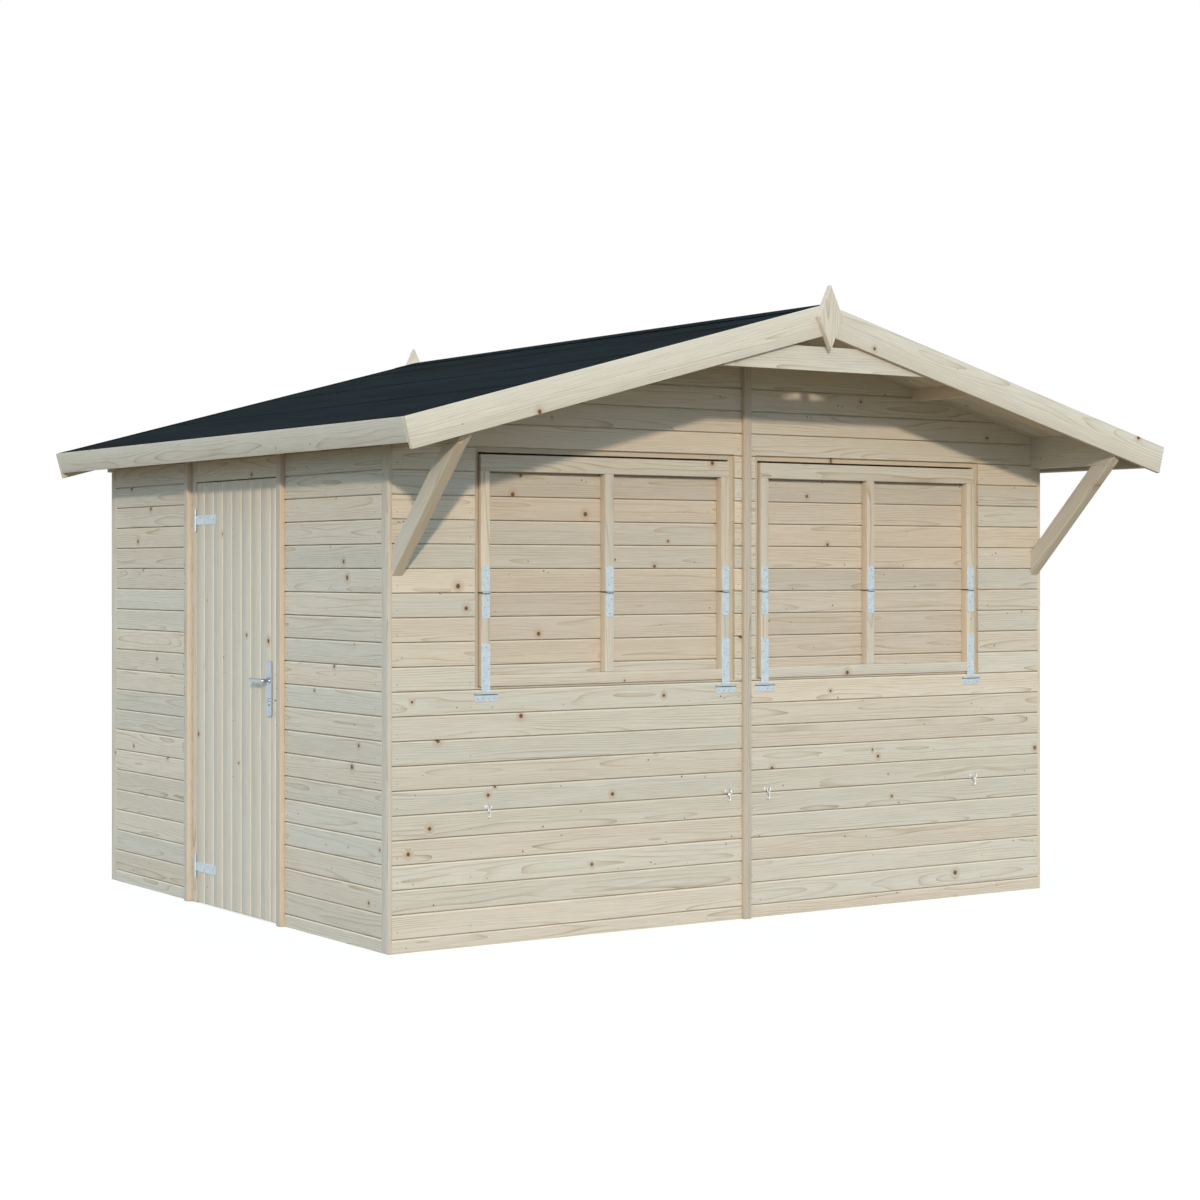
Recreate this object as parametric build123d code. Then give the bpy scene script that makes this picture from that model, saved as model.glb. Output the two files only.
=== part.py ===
import os
from math import cos, radians, sin, tan

from build123d import *

# Serving kiosk of boarded timber panels under a felted pitched roof.
# X runs along the front, Y from the front to the back, Z up from the ground.
# All sizes are in millimetres and degrees.

# Walls
wall_width = 3400
wall_depth = 2680
wall_height = 2044
cladding = 16
stud = 45
joint_gap = 2
corner_board = 55
batten_width = 38
batten_proud = 20

# Floor
joist_depth = 45
joist_count = 7
deck_board = 19

# Roof
pitch = radians(15)
eave_reach = 233
front_reach = 540
rear_reach = 110
felt = 3
roof_board = 17
barge_width = 120
fascia_width = 95
edge_board = 20
collar_height = 102
collar_drop = 270
collar_half = 620
beam_depth = 125
purlin_depth = 40
purlin_share = 0.49
ridge_beam_depth = 92

# Braces under the front eave beams
brace_angle = radians(45)
brace_drop = 485
brace_depth = 75
brace_lap = 30

# Kite-shaped finials on both gables
finial_width = 125
finial_height = 260
finial_drop = 56
finial_thickness = 24
finial_bevel = 4

# Serving hatches, each side of the middle of the front, hung below the eave beams
hatch_inner = 82
hatch_margin = 410
hatch_rise = 905
lower_leaf = 365
hatch_below_beam = 11
hatch_gap = 5
hatch_top_gap = 8
hatch_reveal = 22
stile_width = 42
stile_depth = 38
top_rail = 65
bottom_rail = 45

# Door in the left wall, measured back from the front
door_front = 955
door_width = 768
door_bottom = 5
door_below_eave = 207
door_gap = 6
jamb_width = 44
jamb_proud = 23
ledge_depth = 20
ledge_width = 95
ledge_inset = 40
stop_width = 40
stop_depth = 14
stop_cover = 15

# Strap hinges
plate = 3
knuckle_radius = 4.5
pin_radius = 2.5
pin_play = 0.05
pin_out = 5
knuckle_gap = 0.5
fold_width = 36
fold_up = 105
fold_down = 100
fold_middle_share = 0.34
t_pin_below = 27
t_width = 40
t_length = 198
t_bar_width = 102
t_bar_height = 30
door_strap_width = 42
door_strap_length = 200
door_hinge_bar = 100
door_bar_reach = 21
door_hinge_low = 155
door_hinge_high = 162

# Lever set
lever_from_edge = 46
lever_height = 1000
lock_plate_width = 43
lock_plate_height = 230
lock_plate_below = 148
lock_plate_depth = 8
lock_plate_round = 6
cylinder_below = 82
cylinder_radius = 9
cylinder_proud = 4
lever_neck = 8
lever_reach = 44
lever_length = 112
lever_grip = 9
lever_heel = 13
spindle_radius = 4
spindle_hole = 9

# Screw eyes for the open hatches
eye_below = 465
eye_radius = 14
eye_wire = 4
eye_shank = 16
hook_drop = 34

overrun = 50

# Derived places
half_width = wall_width / 2
frame_face = half_width - cladding
frame_back = frame_face - stud
front_frame = (cladding, cladding + stud)
rear_frame = (wall_depth - cladding - stud, wall_depth - cladding)
ridge_top = wall_height + (felt + roof_board) / cos(pitch) + half_width * tan(pitch)
slope_length = (half_width + eave_reach) / cos(pitch)
roof_front = -front_reach
roof_rear = wall_depth + rear_reach
under_front = roof_front + edge_board
under_rear = roof_rear - edge_board
middle_y = (roof_front + roof_rear) / 2
purlin_middle = purlin_share * (half_width + eave_reach)
beam_bottom = wall_height - beam_depth
brace_foot = beam_bottom - brace_drop
collar_bottom = ridge_top - collar_drop
finial_middle = ridge_top - finial_drop
deck_top = joist_depth + deck_board
hatch_outer = half_width - hatch_margin
hatch_top = beam_bottom - hatch_below_beam
hatch_bottom = hatch_top - hatch_rise
hatch_split = hatch_bottom + lower_leaf
lower_rise = (hatch_bottom, hatch_split - hatch_gap / 2)
upper_rise = (hatch_split + hatch_gap / 2, hatch_top)
stile_places = (
    hatch_inner + stile_width / 2,
    (hatch_inner + hatch_outer) / 2,
    hatch_outer - stile_width / 2,
)
outer_stiles = (stile_places[0], stile_places[-1])
t_pin_height = hatch_bottom - t_pin_below
eye_height = hatch_bottom - eye_below
sill_top = hatch_bottom - hatch_gap
head_bottom = hatch_top + hatch_top_gap
opening_inner = hatch_inner - hatch_gap - hatch_reveal
opening_outer = hatch_outer + hatch_gap + hatch_reveal
opening_top = head_bottom + hatch_reveal
door_rear = door_front + door_width
door_top = wall_height - door_below_eave
door_hinge_heights = (door_bottom + door_hinge_low, door_top - door_hinge_high)
doorway = (door_front - door_gap, door_rear + door_gap)
doorway_top = door_top + door_gap
jambs_outer = (doorway[0] - jamb_width, doorway[1] + jamb_width)
door_face = -half_width
door_back = door_face + cladding
door_pin_y = doorway[1] - door_gap / 2
lever_y = door_front + lever_from_edge


def under_roof(x):
    """Height of the roof boards' underside at a distance from the ridge."""
    return ridge_top - (felt + roof_board) / cos(pitch) - abs(x) * tan(pitch)


ridge_beam_bottom = under_roof(0) - ridge_beam_depth
purlin_bottom = under_roof(purlin_middle + stud / 2) - purlin_depth


def on_slope(run, drop):
    """Point of the right slope: so far down the slope, so deep below its top."""
    x = run * cos(pitch) - drop * sin(pitch)
    z = ridge_top - run * sin(pitch) - drop * cos(pitch)
    return (x, z)


def block(x_span, y_span, z_span):
    """Square-edged timber between its low and high edge along each axis."""
    spans = (x_span, y_span, z_span)
    low = [min(span) for span in spans]
    size = [max(span) - min(span) for span in spans]
    return Pos(*low) * Box(*size, align=(Align.MIN, Align.MIN, Align.MIN))


def gable_plate(points, y_span):
    """Piece with its outline in the gable plane, given as (x, z) points."""
    outline = Plane.XZ * make_face(Polyline(*points, close=True))
    return Pos(0, y_span[0], 0) * extrude(outline, y_span[1] - y_span[0], dir=(0, 1, 0))


def side_plate(points, x_span):
    """Piece with its outline in the side plane, given as (y, z) points."""
    outline = Plane.YZ * make_face(Polyline(*points, close=True))
    return Pos(x_span[0], 0, 0) * extrude(outline, x_span[1] - x_span[0], dir=(1, 0, 0))


def roofed(x_span, y_span, bottom):
    """Upright piece on the right half whose top is cut to the roof slope."""
    near, far = x_span
    points = [(near, bottom), (far, bottom), (far, under_roof(far)), (near, under_roof(near))]
    return gable_plate(points, y_span)


def mirrored(piece):
    """The same piece on the left of the ridge."""
    return mirror(piece, about=Plane.YZ)


def both_sides(pieces):
    """Each piece with its twin on the other side of the ridge."""
    return list(pieces) + [mirrored(piece) for piece in pieces]


def sloped_board(start, end, top, bottom, y_span):
    """Board on the right slope, plumb-cut at the ridge or square to the slope."""
    head = [on_slope(start, top), on_slope(end, top)]
    foot = [on_slope(end, bottom), on_slope(start, bottom)]
    if start == 0:
        head[0] = on_slope(top * tan(pitch), top)
        foot[1] = on_slope(bottom * tan(pitch), bottom)
    return gable_plate(head + foot, y_span)


# Roof timbers

def eave_beams():
    """Beam along each side wall, housed for the brace and splayed in line with it."""
    beam = roofed((frame_back, frame_face), (under_front, under_rear), beam_bottom)
    low = beam_bottom - overrun
    high = beam_bottom + beam_depth
    splay = side_plate(
        [(brace_out(low), low), (brace_out(high), high), (brace_out(high), low)],
        (frame_back - overrun, frame_face + overrun),
    )
    return both_sides([beam - brace_lap_piece() - splay])


def brace_out(level):
    """Place of the brace's lower face at a level, out from the wall."""
    return (brace_foot - level) / tan(brace_angle)


def brace_profile(bottom, top):
    """Outline of the brace between two levels, plumb-cut where it meets the wall."""
    level_cut = brace_depth / sin(brace_angle)
    points = [
        (brace_out(bottom), bottom),
        (brace_out(top), top),
        (brace_out(top) + level_cut, top),
    ]
    if bottom == brace_foot:
        points.append((0, brace_foot + brace_depth / cos(brace_angle)))
    else:
        points.append((brace_out(bottom) + level_cut, bottom))
    return points


def brace_lap_piece():
    """Inner half of the brace, let into the side of the beam."""
    return side_plate(
        brace_profile(beam_bottom, beam_bottom + brace_lap), (frame_back, frame_back + stud / 2)
    )


def eave_braces():
    """Props from the front wall to the overhanging eave beams, half-lapped at the top."""
    shaft = side_plate(brace_profile(brace_foot, beam_bottom), (frame_back, frame_face))
    return both_sides([shaft + brace_lap_piece()])


def roof_purlins():
    """Ridge beam and one purlin halfway down each slope."""
    ridge = gable_plate(
        [
            (-stud / 2, ridge_beam_bottom),
            (stud / 2, ridge_beam_bottom),
            (stud / 2, under_roof(stud / 2)),
            (0, under_roof(0)),
            (-stud / 2, under_roof(stud / 2)),
        ],
        (under_front, under_rear),
    )
    near = purlin_middle - stud / 2
    far = purlin_middle + stud / 2
    return [ridge] + both_sides([roofed((near, far), (under_front, under_rear), purlin_bottom)])


def roof_deck():
    """Boarding of the right slope, inside the barge boards and the eave fascia."""
    return sloped_board(
        0, slope_length - edge_board, felt, felt + roof_board, (under_front, under_rear)
    )


def roof_felt():
    """Felt over both slopes, folded over the ridge."""
    half = sloped_board(0, slope_length - edge_board, 0, felt, (under_front, under_rear))
    return [half + mirrored(half)]


def barge_boards():
    """Front and rear barge boards of the right slope, plumb-cut at the ridge."""
    return [
        sloped_board(0, slope_length, 0, barge_width, span)
        for span in ((roof_front, under_front), (under_rear, roof_rear))
    ]


def eave_fascias():
    """Boards square to the slope along the eaves, between the barge boards."""
    board = sloped_board(
        slope_length - edge_board, slope_length, 0, fascia_width, (under_front, under_rear)
    )
    return both_sides([board])


def front_collar():
    """Level tie behind the front barge boards, its upper corners cut to the roof."""
    top = collar_bottom + collar_height
    top_half = (under_roof(0) - top) / tan(pitch)
    right = [
        (collar_half, collar_bottom),
        (collar_half, under_roof(collar_half)),
        (top_half, top),
    ]
    left = [(-x, z) for x, z in reversed(right)]
    return [gable_plate(right + left, (under_front, under_front + edge_board))]


def finials():
    """Kite on each gable, over the mitre of the barge boards, bevelled all round."""
    half = finial_width / 2
    reach = finial_height / 2
    points = [
        (0, finial_middle - reach),
        (half, finial_middle),
        (0, finial_middle + reach),
        (-half, finial_middle),
    ]
    kite = gable_plate(points, (roof_front - finial_thickness, roof_front))
    kite = chamfer(kite.faces().sort_by(Axis.Y)[0].edges(), finial_bevel)
    rear = Pos(0, roof_front + roof_rear, 0) * mirror(kite, about=Plane.XZ)
    return [kite, rear]


# Floor and wall framing

def floor_joists():
    """Joists on the ground, from front to rear plate."""
    span = frame_back - stud / 2
    step = 2 * span / (joist_count - 1)
    places = [-span + step * index for index in range(joist_count)]
    return [
        block((x - stud / 2, x + stud / 2), (front_frame[1], rear_frame[0]), (0, joist_depth))
        for x in places
    ]


def floor_deck():
    """Boarded floor between the walls."""
    return [
        block((-frame_back, frame_back), (front_frame[1], rear_frame[0]), (joist_depth, deck_top))
    ]


def front_studs():
    """Studs of the right front panel, beside the hatch and over its head."""
    inner = block((joint_gap, hatch_inner - hatch_gap), front_frame, (stud, ridge_beam_bottom))
    outer_face = hatch_outer + hatch_gap
    outer = roofed((outer_face, outer_face + stud), front_frame, stud)
    short = block(
        (purlin_middle - stud / 2, purlin_middle + stud / 2),
        front_frame,
        (head_bottom + stud, purlin_bottom),
    )
    return [inner, outer, short]


def rear_studs():
    """Studs of the right rear panel, under the ridge beam and the purlin."""
    inner = block((joint_gap, joint_gap + stud), rear_frame, (stud, ridge_beam_bottom))
    middle = block(
        (purlin_middle - stud / 2, purlin_middle + stud / 2), rear_frame, (stud, purlin_bottom)
    )
    return [inner, middle]


def corner_posts():
    """Posts at the right corners, from the ground to the eave beam."""
    return [
        block((frame_back, frame_face), span, (0, beam_bottom)) for span in (front_frame, rear_frame)
    ]


def side_stud(x_span, middle):
    """Side-wall stud centred on one place along the depth."""
    return block(x_span, (middle - stud / 2, middle + stud / 2), (stud, beam_bottom))


def left_studs():
    """Studs of the left wall: beside the doorway and halfway along each panel."""
    span = (-frame_face, -frame_back)
    places = [
        doorway[0] - stud / 2,
        doorway[1] + stud / 2,
        (front_frame[1] + doorway[0]) / 2,
        (doorway[1] + rear_frame[0]) / 2,
    ]
    return [side_stud(span, place) for place in places]


def right_studs():
    """Studs of the right wall: a pair at the panel joint and one in each panel."""
    span = (frame_back, frame_face)
    middle = wall_depth / 2
    off = joint_gap + stud / 2
    places = [
        middle - off,
        middle + off,
        (front_frame[1] + middle) / 2,
        (middle + rear_frame[0]) / 2,
    ]
    return [side_stud(span, place) for place in places]


def wall_studs():
    """All upright framing."""
    paired = front_studs() + rear_studs() + corner_posts()
    return both_sides(paired) + left_studs() + right_studs()


def wall_rails():
    """Sole plates, and the rails under and over the openings."""
    gable_run = (joint_gap, frame_back - joint_gap)
    hatch_run = (hatch_inner - hatch_gap, hatch_outer + hatch_gap)
    paired = [
        block(gable_run, front_frame, (0, stud)),
        block(gable_run, rear_frame, (0, stud)),
        block(hatch_run, front_frame, (sill_top - stud, sill_top)),
        block(hatch_run, front_frame, (head_bottom, head_bottom + stud)),
    ]
    left = (-frame_face, -frame_back)
    right = (frame_back, frame_face)
    middle = wall_depth / 2
    single = [
        block(left, (front_frame[1], doorway[0]), (0, stud)),
        block(left, (doorway[1], rear_frame[0]), (0, stud)),
        block(left, doorway, (doorway_top, doorway_top + stud)),
        block(right, (front_frame[1], middle - joint_gap), (0, stud)),
        block(right, (middle + joint_gap, rear_frame[0]), (0, stud)),
    ]
    return both_sides(paired) + single


def stop_strips():
    """Flat strips inside the jambs that the door and the hatches close against."""
    door_span = (-frame_back, -frame_back + stop_depth)
    hatch_span = (front_frame[1], front_frame[1] + stop_depth)
    hatch_rise = (sill_top - stud, head_bottom + stud)
    inner = hatch_inner - hatch_gap + stop_cover
    outer = hatch_outer + hatch_gap - stop_cover
    door_front_edge = doorway[0] + stop_cover
    door_rear_edge = doorway[1] - stop_cover
    door_rise = (deck_top, doorway_top + stud)
    return both_sides(
        [
            block((inner - stop_width, inner), hatch_span, hatch_rise),
            block((outer, outer + stop_width), hatch_span, hatch_rise),
        ]
    ) + [
        block(door_span, (door_front_edge - stop_width, door_front_edge), door_rise),
        block(door_span, (door_rear_edge, door_rear_edge + stop_width), door_rise),
    ]


# Cladding

def front_skirts():
    """Boarding of both front panels below the hatches."""
    return both_sides([block((joint_gap / 2, frame_face), (0, cladding), (0, sill_top))])


def front_cheeks():
    """Boarding beside the hatches, notched under the eave beams."""
    inner = block((joint_gap / 2, opening_inner), (0, cladding), (sill_top, opening_top))
    outer = block((opening_outer, frame_face), (0, cladding), (sill_top, opening_top))
    notch = block(
        (frame_back, frame_face + overrun),
        (-overrun, cladding + overrun),
        (beam_bottom, opening_top + overrun),
    )
    return both_sides([inner, outer - notch])


def roof_timber_hole():
    """Space that the ridge beam and the right purlin take through a gable."""
    span = (-overrun, wall_depth + overrun)
    ridge = block((-stud / 2, stud / 2), span, (ridge_beam_bottom, ridge_top))
    purlin = block(
        (purlin_middle - stud / 2, purlin_middle + stud / 2), span, (purlin_bottom, ridge_top)
    )
    return ridge + purlin


def front_gables():
    """Boarding over the hatches, cut to the roof and round its timbers."""
    panel = roofed((joint_gap / 2, frame_back), (0, cladding), opening_top)
    return both_sides([panel - roof_timber_hole()])


def rear_panels():
    """Boarding of the two rear panels, cut to the roof and round its timbers."""
    panel = roofed((joint_gap / 2, frame_face), (wall_depth - cladding, wall_depth), 0)
    beam = block(
        (frame_back, frame_face + overrun),
        (wall_depth - cladding - overrun, wall_depth + overrun),
        (beam_bottom, ridge_top),
    )
    return both_sides([panel - roof_timber_hole() - beam])


def left_panels():
    """Boarding of the left wall before and behind the door."""
    spans = ((corner_board, jambs_outer[0]), (jambs_outer[1], wall_depth - corner_board))
    return [mirrored(roofed((frame_face, half_width), span, 0)) for span in spans]


def door_header():
    """Boarding over the door."""
    return [mirrored(roofed((frame_face, half_width), doorway, doorway_top))]


def door_jambs():
    """Plain uprights beside the door, in the plane of the boarding."""
    spans = ((jambs_outer[0], doorway[0]), (doorway[1], jambs_outer[1]))
    return [mirrored(roofed((frame_face, half_width), span, 0)) for span in spans]


def right_panels():
    """Boarding of the two right-hand panels."""
    middle = wall_depth / 2
    spans = (
        (corner_board, middle - joint_gap / 2),
        (middle + joint_gap / 2, wall_depth - corner_board),
    )
    return [roofed((frame_face, half_width), span, 0) for span in spans]


def corner_boards():
    """Upright boards that close the ends of the side walls."""
    spans = ((0, corner_board), (wall_depth - corner_board, wall_depth))
    return both_sides([roofed((frame_face, half_width), span, 0) for span in spans])


def cover_battens():
    """Battens over the panel joints, and the two that frame the door."""
    half = batten_width / 2
    middle = wall_depth / 2
    gable = [
        block((-half, half), span, (0, ridge_beam_bottom))
        for span in ((-batten_proud, 0), (wall_depth, wall_depth + batten_proud))
    ]
    right = roofed((half_width, half_width + batten_proud), (middle - half, middle + half), 0)
    jamb_spans = (
        (jambs_outer[0] - batten_width, jambs_outer[0]),
        (jambs_outer[1], jambs_outer[1] + batten_width),
    )
    jambs = [
        mirrored(roofed((half_width, half_width + jamb_proud), span, 0)) for span in jamb_spans
    ]
    return gable + [right] + jambs


# Hinges are drawn flat: along the strap, along the pin, and out from the face

def knuckle(pin_span):
    """Rolled end of a hinge leaf round the pin."""
    start, end = pin_span
    barrel = Cylinder(
        knuckle_radius,
        end - start,
        rotation=(-90, 0, 0),
        align=(Align.CENTER, Align.CENTER, Align.MIN),
    )
    return Pos(0, start, pin_out) * barrel


def hinge_leaf(length, width, pin_spans):
    """Flat leaf that reaches along the strap, with its knuckles at the pin."""
    shoulder = knuckle_radius + knuckle_gap
    leaf = block((shoulder, length), (-width / 2, width / 2), (0, plate))
    for span in pin_spans:
        leaf += block((0, shoulder), span, (0, plate)) + knuckle(span)
    return leaf


def hinge_pin(length, radius):
    """Pin through the knuckles."""
    pin = Cylinder(radius, length, rotation=(90, 0, 0))
    return Pos(0, 0, pin_out) * pin


def bored(leaf, length):
    """Leaf with its knuckles drilled for the pin."""
    return leaf - hinge_pin(length + overrun, pin_radius + pin_play)


def turned(leaf):
    """Leaf that reaches the other way from the pin."""
    return Rot(0, 0, 180) * leaf


def fold_middle():
    """Span of the middle knuckle of a fold hinge."""
    half = fold_middle_share * fold_width / 2
    return (-half, half)


def fold_outer():
    """Spans of the two outer knuckles of a fold hinge."""
    near = fold_middle()[1] + knuckle_gap
    return ((near, fold_width / 2), (-fold_width / 2, -near))


def fold_lower_leaf():
    """Lower leaf of a fold hinge, with the pin."""
    return turned(hinge_leaf(fold_down, fold_width, fold_outer())) + hinge_pin(
        fold_width, pin_radius
    )


def fold_upper_leaf():
    """Upper leaf of a fold hinge, turning on the pin."""
    return bored(hinge_leaf(fold_up, fold_width, [fold_middle()]), fold_width)


def t_strap(length, width):
    """Long leaf of a T hinge, turning on the pin."""
    return bored(hinge_leaf(length, width, [(-width / 2, width / 2)]), width)


def t_bar_knuckles(strap_width, bar_width):
    """Spans of the knuckles on the cross bar, each side of the strap."""
    near = strap_width / 2 + knuckle_gap
    return ((near, bar_width / 2), (-bar_width / 2, -near))


def t_bar(reach, width, strap_width):
    """Cross bar of a T hinge, on the far side of the pin, with the pin."""
    leaf = hinge_leaf(reach, width, t_bar_knuckles(strap_width, width))
    return turned(leaf) + hinge_pin(width, pin_radius)


def on_front(x, height):
    """Place on the front face, with the strap pointing up."""
    return Location(Plane(origin=(x, 0, height), x_dir=(0, 0, 1), z_dir=(0, -1, 0)))


def on_door(height):
    """Place on the door's outer face, with the strap pointing to the front."""
    return Location(Plane(origin=(door_face, door_pin_y, height), x_dir=(0, -1, 0), z_dir=(-1, 0, 0)))


# Serving hatches, drawn for the right-hand one

def leaf_frame(rise, rail_rise):
    """Three stiles and one rail, planted on the face of the boards."""
    frame = block((hatch_inner, hatch_outer), (0, stile_depth), rail_rise)
    for x in stile_places:
        frame += block((x - stile_width / 2, x + stile_width / 2), (0, stile_depth), rise)
    return frame


def leaf_boards(rise):
    """Boarding behind the stiles."""
    return block((hatch_inner, hatch_outer), (stile_depth, stile_depth + cladding), rise)


def lower_frame():
    """Frame of the leaf that drops to make the counter."""
    return leaf_frame(lower_rise, (hatch_bottom, hatch_bottom + bottom_rail))


def upper_frame():
    """Frame of the leaf that folds under the counter."""
    return leaf_frame(upper_rise, (hatch_top - top_rail, hatch_top))


def lower_straps():
    """T straps and the lower halves of the fold hinges."""
    straps = [on_front(x, t_pin_height) * t_strap(t_length, t_width) for x in outer_stiles]
    folds = [on_front(x, hatch_split) * fold_lower_leaf() for x in stile_places]
    return straps + folds


def upper_straps():
    """Upper halves of the fold hinges."""
    return [on_front(x, hatch_split) * fold_upper_leaf() for x in stile_places]


def hatch_hinge_bars():
    """Cross bars of the T hinges, on the wall below the hatches."""
    bar = t_bar(t_bar_height, t_bar_width, t_width)
    return both_sides([on_front(x, t_pin_height) * bar for x in outer_stiles])


def eye_hooks():
    """Screw eyes in the front wall, each with a short hook hanging in it."""
    eye = Cylinder(eye_radius, eye_wire, rotation=(0, 90, 0))
    eye -= Cylinder(eye_radius - eye_wire, eye_wire + overrun, rotation=(0, 90, 0))
    shank = Cylinder(eye_wire / 2, eye_shank, rotation=(90, 0, 0))
    eye += Pos(0, eye_radius - eye_wire / 2 + eye_shank / 2, 0) * shank
    hook = Cylinder(eye_wire / 2, hook_drop, align=(Align.CENTER, Align.CENTER, Align.MAX))
    eye += Pos(0, 0, eye_wire / 2 - eye_radius) * hook
    out = -eye_radius - eye_shank + eye_wire / 2
    return both_sides([Pos(x, out, eye_height) * eye for x in outer_stiles])


# Door

def on_lever(piece):
    """Place at the lever's spindle on the door's outer face, turned to face out."""
    frame = Plane(origin=(door_face, lever_y, lever_height), x_dir=(0, 1, 0), z_dir=(-1, 0, 0))
    return Location(frame) * piece


def inside(piece):
    """Twin of a piece of the lever set on the inner face of the door's boards."""
    return Pos(0, 0, -cladding) * mirror(piece, about=Plane.XY)


def spindle_bore(radius):
    """Round hole through the door along the spindle."""
    return Cylinder(radius, lever_reach + overrun + cladding + overrun)


def door_leaf():
    """Upright boards of the door, drilled for the spindle."""
    leaf = block((door_face, door_back), (door_front, door_rear), (door_bottom, door_top))
    return [leaf - on_lever(spindle_bore(spindle_hole))]


def door_ledges():
    """Ledges behind the hinges and the diagonal between them."""
    span = (door_back, door_back + ledge_depth)
    near = door_front + ledge_inset
    far = door_rear - ledge_inset
    low, high = door_hinge_heights
    half = ledge_width / 2
    ledges = block(span, (near, far), (low - half, low + half))
    ledges += block(span, (near, far), (high - half, high + half))
    diagonal = [
        (far, low),
        (far, low + half + ledge_width),
        (near, high),
        (near, high - half - ledge_width),
    ]
    return [ledges + side_plate(diagonal, span)]


def door_straps():
    """Long leaves of the door's T hinges."""
    return [
        on_door(height) * t_strap(door_strap_length, door_strap_width)
        for height in door_hinge_heights
    ]


def door_hinge_bars():
    """Cross bars of the door's hinges, on the face of the rear jamb."""
    bar = t_bar(door_bar_reach, door_hinge_bar, door_strap_width)
    return [on_door(height) * bar for height in door_hinge_heights]


def lock_plates():
    """Long back plates on both faces, with the key cylinder below the lever."""
    outline = RectangleRounded(lock_plate_height, lock_plate_width, lock_plate_round)
    middle = lock_plate_height / 2 - lock_plate_below
    slab = Rot(0, 0, 90) * Pos(-middle, 0, 0) * extrude(outline, lock_plate_depth)
    barrel = Cylinder(
        cylinder_radius,
        lock_plate_depth + cylinder_proud,
        align=(Align.CENTER, Align.CENTER, Align.MIN),
    )
    slab += Pos(0, cylinder_below, 0) * barrel
    slab -= Cylinder(lever_neck + pin_play, overrun)
    return [on_lever(slab), on_lever(inside(slab))]


def lever_handle():
    """Outer and inner lever on one spindle, pointing to the hinges."""
    neck = Cylinder(lever_neck, lever_reach, align=(Align.CENTER, Align.CENTER, Align.MIN))
    grip = Cylinder(
        lever_grip,
        lever_length,
        rotation=(0, 90, 0),
        align=(Align.CENTER, Align.CENTER, Align.MIN),
    )
    lever = neck + Pos(-lever_heel, 0, lever_reach) * grip
    spindle = Cylinder(
        spindle_radius, cladding, align=(Align.CENTER, Align.CENTER, Align.MAX)
    )
    return [on_lever(lever + inside(lever) + spindle)]


# Every node and its solids

nodes = {
    "floor_deck": floor_deck(),
    "floor_joists": floor_joists(),
    "wall_studs": wall_studs(),
    "wall_rails": wall_rails(),
    "stop_strips": stop_strips(),
    "front_skirts": front_skirts(),
    "front_cheeks": front_cheeks(),
    "front_gables": front_gables(),
    "rear_panels": rear_panels(),
    "left_panels": left_panels(),
    "door_header": door_header(),
    "door_jambs": door_jambs(),
    "right_panels": right_panels(),
    "corner_boards": corner_boards(),
    "cover_battens": cover_battens(),
    "eave_beams": eave_beams(),
    "eave_braces": eave_braces(),
    "roof_purlins": roof_purlins(),
    "right_roof_deck": [roof_deck()],
    "left_roof_deck": [mirrored(roof_deck())],
    "roof_felt": roof_felt(),
    "right_barge_boards": barge_boards(),
    "left_barge_boards": [mirrored(board) for board in barge_boards()],
    "eave_fascias": eave_fascias(),
    "front_collar": front_collar(),
    "finials": finials(),
    "hatch_hinge_bars": hatch_hinge_bars(),
    "eye_hooks": eye_hooks(),
    "door_hinge_bars": door_hinge_bars(),
    "door_leaf": door_leaf(),
    "door_ledges": door_ledges(),
    "door_straps": door_straps(),
    "lock_plates": lock_plates(),
    "lever_handle": lever_handle(),
    "right_lower_frame": [lower_frame()],
    "right_lower_boards": [leaf_boards(lower_rise)],
    "right_lower_straps": lower_straps(),
    "right_upper_frame": [upper_frame()],
    "right_upper_boards": [leaf_boards(upper_rise)],
    "right_upper_straps": upper_straps(),
}
for name in [node for node in nodes if node.startswith(("right_lower", "right_upper"))]:
    nodes[name.replace("right", "left", 1)] = [mirrored(piece) for piece in nodes[name]]

os.makedirs("parts", exist_ok=True)
for name, pieces in nodes.items():
    solids = [solid for piece in pieces for solid in piece.solids()]
    centred = [Pos(0, -middle_y, 0) * solid for solid in solids]
    export_step(Compound(children=centred), f"parts/{name}.step")
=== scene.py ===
import bpy
import numpy as np
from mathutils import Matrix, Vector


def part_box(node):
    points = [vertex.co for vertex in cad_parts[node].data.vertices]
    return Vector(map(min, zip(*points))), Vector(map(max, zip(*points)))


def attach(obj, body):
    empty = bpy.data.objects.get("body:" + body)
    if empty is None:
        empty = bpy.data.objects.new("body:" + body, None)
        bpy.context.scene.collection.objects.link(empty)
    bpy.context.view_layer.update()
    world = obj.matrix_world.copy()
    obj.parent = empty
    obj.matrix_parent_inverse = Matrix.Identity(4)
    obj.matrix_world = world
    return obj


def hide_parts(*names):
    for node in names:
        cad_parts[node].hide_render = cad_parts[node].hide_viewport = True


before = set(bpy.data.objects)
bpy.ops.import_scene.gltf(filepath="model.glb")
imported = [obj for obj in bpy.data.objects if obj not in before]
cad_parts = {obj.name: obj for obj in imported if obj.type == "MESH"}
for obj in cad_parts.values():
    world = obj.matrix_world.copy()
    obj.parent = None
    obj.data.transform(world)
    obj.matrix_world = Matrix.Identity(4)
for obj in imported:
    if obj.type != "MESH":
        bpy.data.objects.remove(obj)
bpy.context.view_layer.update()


# Floor joists
# Seven sawn spruce bearers, 45 mm square, laid on the ground from front to back.
# They are nailed between the sole plates and carry the floor boards.

chance = np.random.default_rng(41)


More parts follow.
